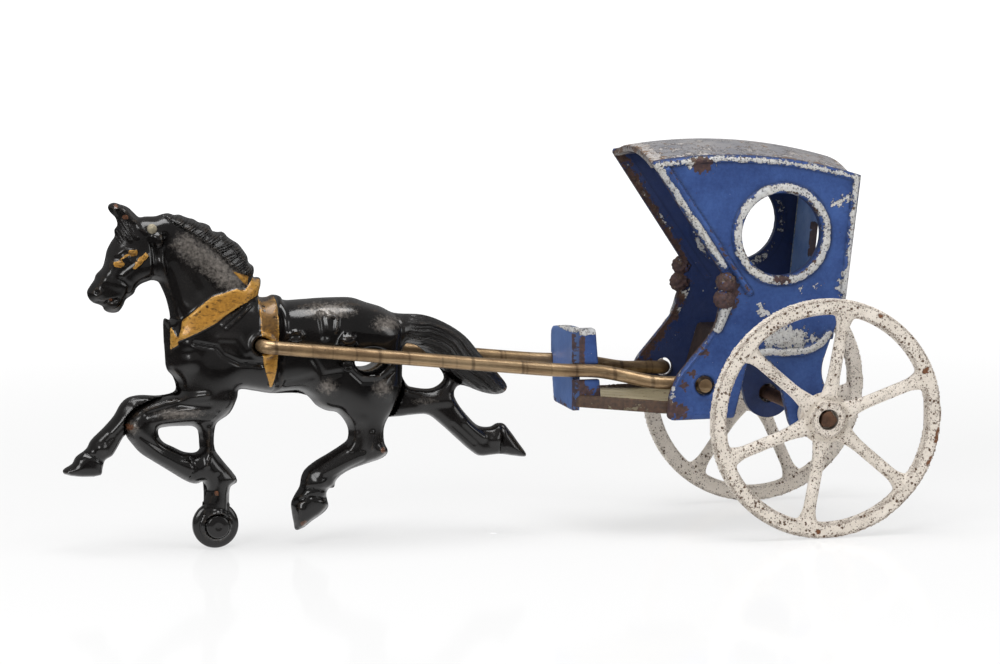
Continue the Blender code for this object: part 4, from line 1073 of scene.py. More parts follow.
STATIONS: Tuple[Station, ...] = (
    (-206.0, 74.5, 3.7, 6.0), (-200.0, 86.0, 4.6, 7.0), (-195.0, 81.0, 5.4, 6.0), (-199.0, 98.0, 3.0, 5.0),
    (-190.0, 92.0, 4.6, 6.0), (-181.0, 86.0, 5.3, 9.0), (-173.0, 75.0, 6.9, 10.0), (-169.0, 89.5, 4.3, 5.0),
    (-176.0, 61.0, 8.6, 10.0), (-182.0, 54.0, 7.8, 7.0), (-160.0, 58.0, 9.0, 12.0), (-145.0, 57.0, 9.3, 12.0),
    (-128.0, 60.0, 9.0, 10.0), (-122.0, 54.0, 8.2, 7.0), (-114.0, 62.0, 3.4, 6.0), (-98.0, 53.0, 3.8, 9.0),
    (-175.0, 28.0, 4.4, 7.0), (-173.4, 8.0, 4.4, 8.0),
)
NEAR_STATIONS: Tuple[Station, ...] = (
    (-131.0, 45.0, 7.8, 8.0), (-129.0, 33.0, 5.0, 6.0), (-136.0, 24.0, 3.9, 6.0), (-147.0, 12.0, 4.0, 7.0),
    (-192.0, 39.5, 4.6, 6.0), (-198.5, 37.5, 4.4, 5.0), (-190.0, 27.0, 3.6, 6.0), (-173.0, 20.5, 4.6, 5.0),
)
FAR_STATIONS: Tuple[Station, ...] = (
    (-130.0, 44.0, 7.6, 8.0), (-112.0, 39.0, 5.0, 7.0), (-99.0, 33.0, 4.0, 6.0), (-86.0, 26.0, 4.0, 6.0),
    (-192.0, 40.0, 4.6, 6.0), (-203.0, 33.0, 3.6, 6.0), (-210.0, 25.5, 4.0, 6.0),
)
BODY_FORMS: Tuple[Form, ...] = (
    Form(((-193.8, 81.9),), 5.2, 0.8),
    Form(((-200.6, 79.4), (-198.2, 77.4), (-198.6, 73.6)), 1.1, -0.6),
    Form(((-199.2, 85.3),), 1.5, 0.75, Swell.ROUND),
    Form(((-201.6, 86.2), (-199.4, 87.7), (-196.6, 87.3)), 0.9, 0.55),
    Form(((-201.4, 84.2), (-199.4, 83.3), (-197.2, 84.4)), 0.7, 0.4),
    Form(((-203.2, 84.0), (-206.3, 78.2)), 2.0, 0.5),
    Form(((-207.0, 75.6),), 2.1, 0.6),
    Form(((-207.2, 75.6),), 1.0, -1.2),
    Form(((-207.0, 72.9), (-205.2, 72.7), (-203.2, 73.3), (-201.3, 73.6)), 0.65, -0.8),
    Form(((-202.6, 71.4),), 2.0, 0.6),
    Form(((-204.4, 78.6), (-201.4, 77.4)), 2.0, 0.35),
    Form(((-202.0, 99.7), (-199.0, 99.2), (-196.6, 95.8)), 1.2, 0.9),
    Form(((-202.0, 99.0), (-201.2, 95.6)), 0.9, 0.6),
    Form(((-200.4, 98.6), (-198.3, 95.2)), 0.8, -0.9),
    Form(((-200.5, 94.6), (-199.3, 92.0), (-197.6, 90.2)), 0.6, 0.5),
    Form(((-198.4, 94.2), (-197.4, 92.0), (-195.7, 91.0)), 0.6, 0.5),
    Form(((-195.6, 95.6), (-194.8, 93.6), (-193.2, 92.4)), 0.7, 0.5),
    Form(((-189.9, 90.2),), 2.0, 1.2, Swell.ROUND),
    Form(((-191.4, 90.0), (-190.8, 86.0), (-190.9, 79.2)), 1.3, -0.8),
    Form(((-187.9, 91.6), (-187.6, 86.0), (-187.0, 81.6), (-184.8, 74.0), (-182.8, 67.7)), 1.0, -0.7),
    Form(((-189.0, 84.0), (-187.2, 76.0), (-184.6, 68.0)), 1.3, 0.4),
    Form(((-184.6, 84.0), (-180.5, 75.0)), 4.5, -0.8),
    Form(((-182.0, 88.5), (-175.0, 83.0), (-171.0, 78.5)), 4.2, 0.8),
    Form(((-172.4, 65.6), (-164.4, 71.9)), 0.6, 0.6),
    Form(((-171.2, 64.6), (-163.6, 70.6)), 0.5, 0.45),
    Form(((-173.7, 66.9), (-166.3, 70.9)), 0.3, -0.35),
    Form(((-187.0, 66.6), (-187.2, 60.0), (-186.8, 52.8)), 1.3, 0.8, beads=2.1),
    Form(((-182.1, 60.1),), 2.8, 0.6),
    Form(((-181.6, 55.2),), 3.8, 0.8),
    Form(((-173.4, 52.2),), 7.5, 1.1),
    Form(((-180.4, 60.6), (-174.0, 59.2), (-172.0, 56.8), (-167.4, 54.5), (-161.1, 53.8)), 1.1, -0.8),
    Form(((-172.8, 62.0), (-168.0, 61.6), (-165.4, 57.8)), 1.8, 0.45),
    Form(((-155.0, 72.4), (-154.9, 58.5), (-156.6, 45.6)), 0.8, -0.75),
    Form(((-153.6, 72.0), (-153.5, 60.0), (-155.2, 46.0)), 0.9, 0.3),
    Form(((-155.9, 71.5), (-156.1, 62.0)), 0.55, 0.5, beads=1.1),
    Form(((-141.2, 67.4), (-138.8, 66.5), (-139.3, 62.7)), 1.0, 0.7),
    Form(((-143.2, 67.2), (-142.6, 61.2)), 1.6, -0.7),
    Form(((-146.8, 66.8), (-152.0, 66.2)), 4.5, 0.3),
    Form(((-139.3, 58.4), (-138.2, 60.6), (-136.7, 62.6), (-134.6, 60.6), (-133.0, 58.2)), 0.5, 0.5),
    Form(((-134.4, 52.7), (-131.4, 49.3), (-126.6, 49.2), (-123.2, 51.8)), 0.9, 0.6),
    Form(((-135.0, 50.8), (-131.4, 47.4), (-126.4, 47.3), (-122.2, 50.2)), 0.8, -0.5),
    Form(((-141.7, 46.1),), 4.2, 0.8),
    Form(((-125.4, 44.9),), 4.8, 0.8),
    Form(((-131.0, 62.0), (-124.0, 62.5)), 6.0, 0.5),
    Form(((-153.2, 48.2), (-146.4, 49.6)), 1.6, -0.4),
    Form(((-146.0, 55.0), (-143.0, 50.0), (-138.4, 50.5)), 1.4, -0.45),
    Form(((-120.6, 66.5), (-119.2, 62.0), (-119.6, 57.0)), 1.0, -0.6),
)
NEAR_FORMS: Tuple[Form, ...] = (
    Form(((-193.5, 39.8), (-183.9, 42.4), (-176.0, 42.4)), 1.4, -0.8),
    Form(((-194.4, 42.0), (-186.0, 44.4), (-177.0, 45.6)), 1.4, 0.7),
    Form(((-191.0, 37.8), (-183.0, 38.4), (-175.0, 38.6)), 1.7, 0.6),
    Form(((-197.4, 36.4),), 2.8, 0.8),
    Form(((-195.4, 34.0), (-188.9, 29.3), (-184.1, 26.8), (-180.4, 26.4)), 0.9, -0.5),
    Form(((-181.2, 27.0), (-180.0, 23.8), (-181.0, 21.0)), 0.7, -0.6),
    Form(((-171.0, 43.0),), 4.5, 0.7),
    Form(((-175.7, 35.6), (-175.7, 29.3), (-176.4, 24.5)), 0.9, 0.6),
    Form(((-171.2, 25.4), (-168.4, 20.0)), 1.3, 0.4),
    Form(((-173.2, 21.5), (-174.4, 17.0)), 1.4, -0.4),
    Form(((-124.9, 26.6),), 2.4, 0.8),
    Form(((-128.0, 32.2), (-128.1, 27.2)), 0.9, 0.6),
    Form(((-131.2, 34.5), (-130.6, 27.0)), 1.3, -0.5),
    Form(((-132.4, 31.8), (-134.0, 27.2)), 1.2, 0.4),
    Form(((-131.0, 25.3), (-143.0, 20.8)), 1.7, 0.5),
    Form(((-130.0, 23.6), (-139.0, 19.4)), 0.8, -0.4),
    Form(((-143.6, 18.0),), 3.0, 0.8),
    Form(((-150.9, 12.6), (-146.0, 14.0), (-140.6, 13.2)), 0.8, -0.7),
    Form(((-148.4, 16.6), (-144.0, 16.4), (-140.0, 15.4)), 0.8, -0.5),
    Form(((-149.0, 10.4), (-148.6, 6.0)), 1.6, 0.4),
    Form(((-137.0, 37.0), (-131.0, 36.0)), 2.6, 0.4),
)
FAR_FORMS: Tuple[Form, ...] = (
    Form(((-197.0, 42.0), (-203.0, 35.0)), 1.7, 0.5),
    Form(((-199.0, 38.0), (-205.0, 32.4)), 0.9, -0.4),
    Form(((-206.6, 30.6),), 2.2, 0.7),
    Form(((-211.8, 29.6), (-208.4, 28.2), (-205.2, 26.2)), 0.8, -0.6),
    Form(((-193.5, 40.0), (-183.9, 41.4)), 2.0, 0.5),
    Form(((-99.3, 33.6), (-94.4, 28.8)), 1.6, 0.6),
    Form(((-103.4, 33.0), (-97.0, 27.0)), 0.9, -0.4),
    Form(((-90.6, 28.0),), 2.4, 0.7),
    Form(((-88.4, 32.2), (-88.4, 28.0), (-88.8, 23.8)), 0.8, -0.7),
    Form(((-112.0, 40.0), (-104.0, 40.4)), 2.4, 0.5),
)
HARNESS: Tuple[Patch, ...] = (
    Patch(((-183.2, 67.2), (-178.9, 70.9), (-174.7, 73.8), (-167.9, 75.7), (-165.4, 75.2), (-162.4, 78.4),
           (-159.8, 77.4), (-160.3, 73.7), (-163.8, 72.4), (-167.5, 70.5), (-174.8, 65.8), (-180.0, 63.4),
           (-184.9, 61.2)), 0.85),
    Patch(((-186.9, 66.2), (-185.0, 62.4), (-184.6, 60.2), (-186.9, 58.2)), 0.5),
    Patch(((-168.9, 80.9), (-163.9, 79.0), (-164.5, 76.1)), 0.35),
    Patch(((-161.0, 74.0), (-161.2, 63.9), (-161.0, 57.0), (-160.2, 52.6), (-158.4, 47.0), (-157.7, 47.0),
           (-156.6, 53.4), (-156.1, 60.0), (-155.8, 74.0)), 0.5),
)
GILDING: Tuple[Patch, ...] = (
    Patch(((-198.4, 87.6), (-195.8, 87.5), (-195.7, 85.9), (-197.9, 85.7)), 0.0),
    Patch(((-202.6, 84.1), (-200.4, 84.8), (-199.2, 83.6), (-200.6, 82.5), (-202.3, 82.9)), 0.0),
    Patch(((-201.0, 84.6), (-199.4, 86.2), (-197.8, 86.8), (-198.0, 86.2), (-199.8, 85.2)), 0.0, 0.2),
    Patch(((-193.2, 86.4), (-193.0, 85.2), (-196.6, 81.9), (-197.4, 82.4)), 0.0),
)
SIDE_WHITE: Tuple[Station, ...] = (
    (-15.8, 66.2, 1.1, 1.9), (-14.6, 64.8, 1.2, 1.0), (7.0, 96.0, 2.0, 1.1), (10.2, 97.4, 2.6, 1.0),
    (9.8, 71.4, 1.9, 3.8), (-7.6, 57.4, 7.4, 3.2), (-42.7, 43.0, 0.5, 3.2), (-43.4, 39.6, 1.3, 0.5),
    (-34.5, 109.4, 4.5, 2.0), (-3.6, 71.4, 0.4, 0.9), (0.8, 72.2, 0.4, 1.3), (1.9, 72.0, 0.3, 1.2),
)
SIDE_RUST: Tuple[Station, ...] = (
    (-33.6, 108.6, 3.2, 2.0), (-25.2, 72.0, 2.6, 4.6), (-42.0, 37.0, 3.2, 2.6), (-9.6, 74.6, 2.6, 1.0),
    (-36.6, 47.8, 1.1, 1.2), (-39.3, 44.6, 1.1, 1.6), (-32.8, 54.2, 1.1, 1.3),
)
RIM_RUST: Tuple[Station, ...] = (
    (24.0, 4.0, 32.5, 2.2), (-10.0, 9.0, 34.0, 1.2), (-24.0, 5.0, 34.0, 1.2), (62.0, 3.0, 33.5, 1.2),
    (-95.0, 3.0, 33.0, 1.2),
)
CHEEK_STRAP = Form(((-193.4, 85.9), (-200.2, 80.0)), 0.85, 0.6, Swell.ROUND, beads=0.8)
# Painted sheen along the upper neck: grey patches in the black enamel's colour.
NECK_SHEEN = Form(((-182.0, 88.4), (-175.5, 83.8), (-168.6, 77.6)), 7.0, 0.66)
BUCKLE: Pair = (-151.2, 61.9)
SHAFT_LUG: Pair = (-135.9, 60.0)
WIRE_HOLE: Pair = (-160.9, 59.3)
CAB_HOLE: Pair = (-32.8, 44.3)
FLANK_HOLE: Pair = (-128.7, 53.3)
GUIDE: Pair = (-173.4, 6.7)
BARE_SPOTS: Tuple[Spot, ...] = (
    (-124.6, 26.8, 0.8), (-147.9, 6.4, 0.9), (-203.4, 73.4, 0.5), (-198.6, 96.6, 0.7), (-201.2, 100.0, 0.6),
    (-173.6, 16.4, 0.6), (-198.6, 36.6, 0.9), (-216.0, 24.0, 0.9), (-81.4, 23.0, 0.8), (-87.0, 42.4, 0.7),
)
# Painted glints: soft grey patches in the black enamel's colour, each with its place and radii.
GLINTS: Tuple[Station, ...] = (
    (-141.0, 68.4, 9.0, 2.4), (-141.7, 46.6, 3.0, 2.6), (-125.4, 45.6, 3.4, 3.0), (-124.0, 64.0, 5.0, 2.4),
    (-197.6, 36.4, 1.8, 2.2), (-184.0, 40.0, 8.0, 1.8), (-205.0, 40.0, 3.0, 1.8), (-112.0, 40.4, 5.0, 1.4),
)


def shaft_z(x: Array) -> Array:
    """Height of a shaft's straight middle line, from the cab's hole to the shoulder's."""
    return CAB_HOLE[1] + (x - CAB_HOLE[0]) * (WIRE_HOLE[1] - CAB_HOLE[1]) / (WIRE_HOLE[0] - CAB_HOLE[0])


@dataclass(frozen=True)
class Half:
    """What differs between the horse's castings.

    The legs run to the guide wheel's lug, and the rise runs up from it to the chest. The gap is
    the opening within the outline.
    """

    legs: Line
    rise: Line
    gap: Line
    stations: Tuple[Station, ...]
    forms: Tuple[Form, ...]


HALVES: Dict[Side, Half] = {
    Side.NEAR: Half(NEAR_HIND + NEAR_FRONT, NEAR_RISE, LEG_GAP, NEAR_STATIONS, NEAR_FORMS),
    Side.FAR: Half(FAR_HIND + FAR_FRONT, FAR_RISE, FAR_TAIL_GAP, FAR_STATIONS, FAR_FORMS),
}


@dataclass
class Horse:
    """The trotting horse in its two castings, with harness and mane cast in."""

    step: float = 0.42
    edge: float = 0.5
    hole_r: float = 2.25
    flank_hole_r: Pair = (4.8, 3.3)
    lug_r: float = 4.9
    pocket_r: float = 7.3
    pocket_half: float = 1.9
    rounding: float = 2.9

    def shape(self, side: Side) -> Loops:
        """Outline of a half with its leg or tail gap, the shoulder hole and the flank hole."""
        half = HALVES[side]
        a = np.radians(np.linspace(38, -218, 15))
        lug = tuple(zip(GUIDE[0] + self.lug_r * np.cos(a), GUIDE[1] + self.lug_r * np.sin(a)))
        return Loops([
            curve_through(HEAD + BACK + half.legs + lug + half.rise, 4), curve_through(half.gap, 5),
            ellipse(WIRE_HOLE, (self.hole_r,) * 2, 40), ellipse(FLANK_HOLE, self.flank_hole_r, 64),
        ])

    def dome(self, points: Array, side: Side) -> Array:
        """Height before the details.

        The full height is a mean of the named stations, weighted by exp(-(distance / reach)^2).
        It falls to the edge along a quarter circle: edge + (full - edge) sqrt(1 - (1 - t)^2), with
        t the distance from the outline over the full height.
        """
        s = np.array(STATIONS + HALVES[side].stations)
        gap = np.linalg.norm(points[:, None] - s[:, :2], axis=2)
        weight = bell(gap, s[:, 3]) + 1e-9 / (1 + gap ** 2)
        full = (weight * s[:, 2]).sum(1) / weight.sum(1)
        return SEAM + self.edge + (full - self.edge) * quarter(self.shape(side).depth(points, 2) / full)

    @staticmethod
    def hair(points: Array) -> Tuple[Tuple[Array, ...], Tuple[Array, ...]]:
        """Mane and tail at each point: share, length run along the line, and distance from it."""
        x, z = points.T
        dist, _, run, offset = nearest(points, np.array(MANE_LINE))
        mane = ease((offset + 0.2) / 0.7) * ease(-159.8 - x) * ease((z - 78.6) / 1.5) * ease((x + 188.4) / 1.2)
        to_tail, _, along, aside = nearest(points, np.array(TAIL_LINE))
        tail = ease((along - 1.0) / 4.0) * ease((x + 118.4) / 3.0)
        return (mane * (dist < 9.0), run, dist), (tail * (to_tail < 7.0), along, aside)

    def locks(self, points: Array) -> Array:
        """Height of the mane and the tail.

        A lock of the mane is |sin| of the length run along its line less 0.3 of the distance from
        it. A strand of the tail is the cosine of the distance to one side of its middle line.
        """
        (mane, run, dist), (tail, along, aside) = self.hair(points)
        lock = np.abs(np.sin(math.pi * (run - 0.3 * dist) / 3.4)) ** 0.55
        strand = np.cos(2 * math.pi * (aside + 0.6 * np.sin(along / 3.0)) / 2.3)
        return mane * (0.2 + lock) + tail * 0.26 * strand

    def strands(self, points: Array) -> Tuple[Array, Array]:
        """Share of hair at each point, and the strand that it belongs to, counted in turns."""
        x, z = points.T
        (mane, run, dist), (tail, along, aside) = self.hair(points)
        fore = ease((1.1 - distance(points, (-199.4, 92.4), (2.6, 3.4))) / 0.4)
        phase = np.where(mane > tail, (run - 0.55 * dist) / 0.85, (aside + 0.6 * np.sin(along / 3.0)) / 1.1)
        phase = np.where(fore > np.maximum(mane, tail), (x + 0.45 * z) / 0.9, phase)
        return np.max([1.25 * mane, tail, fore], axis=0), phase

    def relief(self, points: Array, side: Side) -> Array:
        """Sum of all forms, hair, harness, buckle and holes at each point, less near the outline."""
        rise = sum(f.rise(points) for f in (*BODY_FORMS, *HALVES[side].forms, CHEEK_STRAP))
        rise += sum(p.height * p.share(points) for p in HARNESS) + self.locks(points)
        hole = distance(points, WIRE_HOLE) - self.hole_r
        rise += 0.9 * bell(hole - 0.9, 0.75) - 0.5 * bell(hole, 0.4)
        buckle = distance(points, BUCKLE, (2.6, 1.8))
        turn = np.arctan2(points[:, 1] - BUCKLE[1], points[:, 0] - BUCKLE[0])
        rise += 0.75 * ease((1.05 + 0.07 * np.cos(9 * turn) - buckle) / 0.25) - 0.45 * ease((0.6 - buckle) / 0.3)
        rise += 2.2 * np.sqrt(np.clip(1 - distance(points, SHAFT_LUG, (2.5, 1.9)) ** 2, 0, 1))
        rise -= 1.4 * bell((distance(points, FLANK_HOLE, self.flank_hole_r) - 1) * 4.2, 0.9)
        ring = distance(points, GUIDE)
        rise += 0.7 * bell(ring - 4.2, 0.5) - 0.9 * ease((3.7 - ring) / 0.5)
        return rise * (0.25 + 0.75 * ease(self.shape(side).depth(points, 2) / 0.9))

    def behind(self, points: Array, side: Side) -> Array:
        """Back of a half: a plane with a pocket round the guide wheel, and round legs where it is free.

        Where the other half doesn't cover it, the back swells by rounding times
        sqrt(1 - (1 - t)^2), with t the distance from its own outline over the rounding.
        """
        outer = Loops(self.shape(side.other).outlines[:1 if side is Side.NEAR else 2])
        free = np.where(outer.holds(points), 0.0, outer.depth(points))
        t = self.shape(side).depth(points, 2) / self.rounding
        detail = 1.1 * sum(f.rise(points) for f in HALVES[side].forms) * ease(t * 3.0)
        ring = distance(points, GUIDE)
        swell = (self.rounding * quarter(t) + detail) * ease((free - 0.05) / 0.5)
        return np.where(ring < self.pocket_r, self.pocket_half, SEAM - swell * ease((ring - self.pocket_r - 1.0) / 2.0))

    def paint(self, points: Array, side: Side) -> Masks:
        """Where gold and bare patches lie, with the painted sheen and glints, the hair's strands and the girth's fade.
        """
        x, z = points.T
        strap = 0.75 * ease(CHEEK_STRAP.rise(points) / 0.3) * ease((x + 197.4) / 1.2)
        gold = np.max([p.share(points) for p in HARNESS + GILDING] + [strap], axis=0)
        plain = ease((-186.3 - x) / 0.5) * ease((x + 188.6) / 0.5) * (z > 50) * (z < 68)
        bare = np.max([np.clip(1.25 - distance(points, s[:2]) / s[2] * 0.7, 0, 0.8) for s in BARE_SPOTS], axis=0)
        # Painted glints and neck sheen, where the black enamel gets its grey patches.
        sheen = np.max([np.exp(-(((x - u) / a) ** 2 + ((z - v) / b) ** 2)) for u, v, a, b in GLINTS], axis=0)
        hair, phase = self.strands(points)
        return {
            "gold": gold * (1 - 0.85 * plain), "rust": bare * (0.8 if side is Side.FAR else 1.0),
            "sheen": np.maximum(0.72 * sheen, NECK_SHEEN.rise(points)), "hair": hair, "phase": phase,
            "faded": HARNESS[3].share(points) * (0.3 + 0.4 * ease((z - 58.0) / 8.0)),
        }

    def build(self, side: Side) -> Shell:
        """Build one half."""
        return Plate(
            self.shape(side), self.step, front=lambda p: self.dome(p, side), back=lambda p: self.behind(p, side),
            lay=across(side), relief=lambda p: self.relief(p, side), evening=10, ridge_scale=0.22,
            masks=lambda p, _: self.paint(p, side),
        ).build()

    def make(self, black: bpy.types.Material) -> None:
        """Build and dress both halves."""
        for side, name in ((Side.NEAR, "horse_left"), (Side.FAR, "horse_right")):
            make_piece(name, self.build(side), "carriage", name + "_paint", name + "_half", black)


@dataclass
class CabBody:
    """The cab: two sides, roof, back, seat and floor."""

    body_y: float = 22.0
    inner_y: float = 19.6
    half: float = 19.3
    roof_r: float = 139.0
    roof_x: float = -29.0
    roof_top: float = 111.2
    front_x: float = -48.6
    rear_x: float = 14.8
    window: Pair = (-9.5, 87.6)
    window_r: float = 12.0
    rim_width: float = 3.0
    shaft_hole_r: float = 2.75
    axle_hole_r: float = 2.85
    lobe_r: float = 7.4
    seat_z: float = 57.4
    crown: float = 3.1
    step: float = 0.36
    dash_x: float = -69.9
    flange_x: float = -68.7
    flange_z: float = 39.6

    def roof_z(self, x: Array) -> Array:
        """Height of the roof's edge: an arc of the roof's radius, highest at roof_x."""
        return self.roof_top - self.roof_r + np.sqrt(self.roof_r ** 2 - (x - self.roof_x) ** 2)

    @staticmethod
    def back_x(z: Array) -> Array:
        """Inner face of the sloping back at a height."""
        return 5.0 + (z - 57.0) * (5.1 / 47.0)

    def outline(self) -> Array:
        """Outline of a side: roof arc, rear edge, axle lobe, arch, foot and front edge."""
        x = np.linspace(self.front_x + 0.9, self.rear_x, 60)
        top = np.stack([x, self.roof_z(x)], 1)
        a = np.radians(np.linspace(52, -168, 40))
        lobe = np.stack([self.lobe_r * np.cos(a), AXLE_Z + self.lobe_r * np.sin(a)], 1)
        rear = [
            (*top[-1], 0.6), (self.back_x(66.0) + 4.1, 66.0, 3.5), (self.back_x(57.4) + 0.9, 57.4, 3.0),
            (self.back_x(48.0) - 1.4, 48.0, 3.0), (3.6, 42.4, 0),
        ]
        foot = [
            (-7.9, 38.5, 0), (-11.0, 48.4, 1.6), (-14.4, 52.0, 1.2), (-19.4, 51.8, 1.4), (-23.8, 34.4, 0.9),
            (-43.9, 34.4, 2.0), (-43.2, 41.5, 1.4), (-41.0, 47.2, 2.0), (-31.1, 58.6, 2.0), (-29.8, 60.8, 0.9),
            (-28.9, 63.1, 0.9), (-28.3, 66.2, 1.0), (-27.8, 68.8, 1.0), (-26.6, 75.8, 2.0),
            (self.front_x + 0.35, top[0, 1] - 0.9, 0.5), (*top[0], 0),
        ]
        return np.vstack([top[:-1], np.array(rounded(rear))[:-1], lobe, np.array(rounded(foot))[1:-1]])

    def shape(self) -> Loops:
        """A side with its window, shaft hole and axle hole."""
        return Loops([
            self.outline(), ellipse(self.window, (self.window_r,) * 2, 120),
            ellipse(CAB_HOLE, (self.shaft_hole_r,) * 2, 36), ellipse((0.0, AXLE_Z), (self.axle_hole_r,) * 2, 40),
        ])

    def beads(self) -> Dict[str, Form]:
        """Raised lines: roof edge, front edge, rear edge, rib, mouldings and lamp."""
        x = np.linspace(-46.0, self.rear_x - 1.6, 14)
        edge = tuple(zip(x, self.roof_z(x) - 1.2))
        tail = (float(self.back_x(70.4)) + 3.2, 70.4)
        rib = ((-44.0, float(self.roof_z(-44.0)) - 2.8), (-20.4, 72.6), (-19.2, 71.0))
        moulding = ((-16.6, 53.2), (-14.0, 53.4), (-8.4, 53.0), (-3.6, 53.0), (-0.4, 53.8), (2.6, 55.4), (5.0, 58.0))
        return {
            "edge": Form(edge, 0.95, 0.85, Swell.ROUND),
            "front": Form((edge[0], (-26.6, 78.6)), 0.95, 0.85, Swell.ROUND),
            "rear": Form((edge[-1], tail), 0.95, 0.8, Swell.ROUND),
            "rib": Form(rib, 0.85, 1.3, Swell.ROUND),
            "moulding": Form(moulding, 1.2, 1.0, Swell.ROUND),
            "stem": Form(((-26.0, 67.5), (-29.0, 61.0)), 1.5, 1.3, Swell.ROUND),
            "arch": Form(((-42.8, 42.4), (-40.4, 47.4), (-30.8, 58.4)), 0.9, 0.45),
            "foot": Form(((-24.8, 36.0), (-39.8, 36.0)), 0.9, 0.3),
        }

    def tongues(self) -> Tuple[Tuple[float, float, float, float], ...]:
        """Peened tongues of the inner castings in the sides: x and z limits.

        They are the seat's, the back's high and low ones, the roof's and the floor's.
        """
        z = float(self.roof_z(-33.5))
        high, low = float(self.back_x(96.0)) + 0.3, float(self.back_x(73.0)) + 0.3
        return (
            (-13.0, -2.0, 55.4, 57.0), (high, high + 1.5, 93.6, 98.4), (low, low + 1.5, 70.6, 75.4),
            (-36.5, -30.5, z - 2.0, z - 1.0), (-40.0, -36.4, 36.6, 38.2),
        )

    def face(self, points: Array) -> Array:
        """Beads, window rim, hole rings and tongues of the outer face."""
        rise = np.max([f.rise(points) for f in self.beads().values()], axis=0)
        r = distance(points, self.window) - self.window_r
        rim = np.clip(1 - np.abs(r / self.rim_width * 2 - 1) ** 3.2, 0, 1) ** 0.5 * (r < self.rim_width)
        rise = np.maximum(rise, 1.2 * rim)
        for centre, radius in ((CAB_HOLE, self.shaft_hole_r), ((0.0, AXLE_Z), self.axle_hole_r)):
            gap = distance(points, centre) - radius
            rise = rise + 0.22 * bell(gap - 0.9, 0.5) - 0.25 * bell(gap, 0.35)
        for x0, x1, z0, z1 in self.tongues():
            middle, half = np.array([x0 + x1, z0 + z1]) / 2, np.array([x1 - x0, z1 - z0]) / 2
            gap = np.max(np.abs(points - middle) - half, axis=1)
            rise = rise + 0.15 * ease((0.1 - gap) / 0.5) * (rise < 0.5) - 0.06 * bell(gap - 0.25, 0.22)
        return rise

    def wear(self, points: Array, depth: Array) -> Masks:
        """White ground coat and rust on a side, as read from the photograph."""
        x, z = points.T
        torn = points + np.stack([0.5 * np.cos(2.7 * z + 1.1 * x) + 0.3 * np.cos(6.1 * z - 2.0 * x),
                                  0.5 * np.cos(3.1 * x - 1.9 * z) + 0.3 * np.cos(5.3 * x + 2.6 * z)], 1)

        def spots(rows: Sequence[Station]) -> Array:
            """Torn ellipses, each with its centre and its radii."""
            return np.max([np.clip(1.1 - 0.6 * distance(torn, (u, v), (a, b)), 0, 0.75) for u, v, a, b in rows], axis=0)
        beads = self.beads()
        rib = np.clip(beads["rib"].rise(points), 0, 1)
        rust = np.maximum(spots(SIDE_RUST), 0.32 * fade(depth, 0.5))
        white = np.max([
            0.66 * bell(self.roof_z(x) - z - 1.2, 1.15),
            Form(((-46.6, 108.4), (-27.0, 79.0)), 2.0, 0.76).rise(points),
            Form(((13.4, 103.0), (9.9, 66.0)), 2.3, 0.78).rise(points),
            0.78 * np.exp(-((distance(points, self.window) - self.window_r - 1.6) / 1.45) ** 4),
            0.4 * fade(depth, 0.7), 0.92 * beads["moulding"].rise(points),
            0.8 * ease(beads["stem"].rise(points) / 0.6), spots(SIDE_WHITE),
        ], axis=0)
        return {"white": white * (1 - 0.8 * (rust > 0.6)), "rust": rust * (1 - rib), "calm": rib}

    def side(self, side: Side) -> Shell:
        """Build one side, rusty along its front edge inside, with the lamp's two knobs."""
        shape = self.shape()
        plate = Plate(
            shape, self.step, front=lambda p: self.body_y - shape.rim(p, 0.4, 0.5), back=self.inner_y,
            lay=across(side), relief=self.face, ridge_scale=0.3, masks=self.wear,
        ).build()
        n = len(plate.points) // 2
        edge = np.array([(self.front_x, 109.8), (-27.8, 75.8), (-28.9, 63.1), (-43.2, 41.5), (-43.9, 34.4)])
        inside_rust = 0.64 * bell(nearest(plate.points[n:][:, [0, 2]], edge)[0], 4.2)
        plate.masks["rust"][n:] = np.maximum(plate.masks["rust"][n:], inside_rust)
        return merged([plate, self.knob(side, -26.5, 74.3, 2.8), self.knob(side, -27.0, 69.4, 3.0)])

    def knob(self, side: Side, x: float, z: float, size: float) -> Shell:
        """One rounded knob of the cast lamp: an ellipsoid through the panel's front edge."""
        t = np.linspace(0.0, math.pi, 22)
        profile = np.stack([size * np.sin(t) ** 0.85, side.value * (self.body_y - 0.1 - 3.2 * np.cos(t))], 1)
        shell = turned((x, z), profile, 40)
        u, v, w = shell.points.T
        bump = 1 + 0.09 * np.cos(3.1 * u + 2.3 * v) * np.cos(2.7 * w)
        middle = np.array([x, side.value * self.body_y, z])
        shell.points = middle + (shell.points - middle) * bump[:, None]
        shell.masks = {"rust": 0.72 - 0.1 * (w - z) / size, "white": 0.34 + 0.14 * (w - z) / size}
        return shell

    def roof(self) -> Shell:
        """Crowned roof: the edge's arc plus a parabola across, with rounded rims."""
        loop = Loops([box(self.front_x + 0.4, -self.half, float(self.back_x(100.0)) + 2.5, self.half)])

        def top(p: Array) -> Array:
            """Top of the roof."""
            return self.roof_z(p[:, 0]) - 0.3 + self.crown * (1 - (p[:, 1] / self.half) ** 2)

        def worn(p: Array, depth: Array) -> Masks:
            """Worn front corners and edges."""
            ahead = 0.45 * ease((-43.6 - p[:, 0]) / 3.0)
            return {"white": 0.1 + 0.25 * fade(depth, 1.8) + ahead, "rust": 0.06 + 0.25 * fade(depth, 1.2)}
        return Plate(
            loop, 0.5, front=lambda p: top(p) - loop.rim(p, 0.3, 0.5), back=lambda p: top(p) - 1.8,
            lay=upwards, masks=worn,
        ).build()

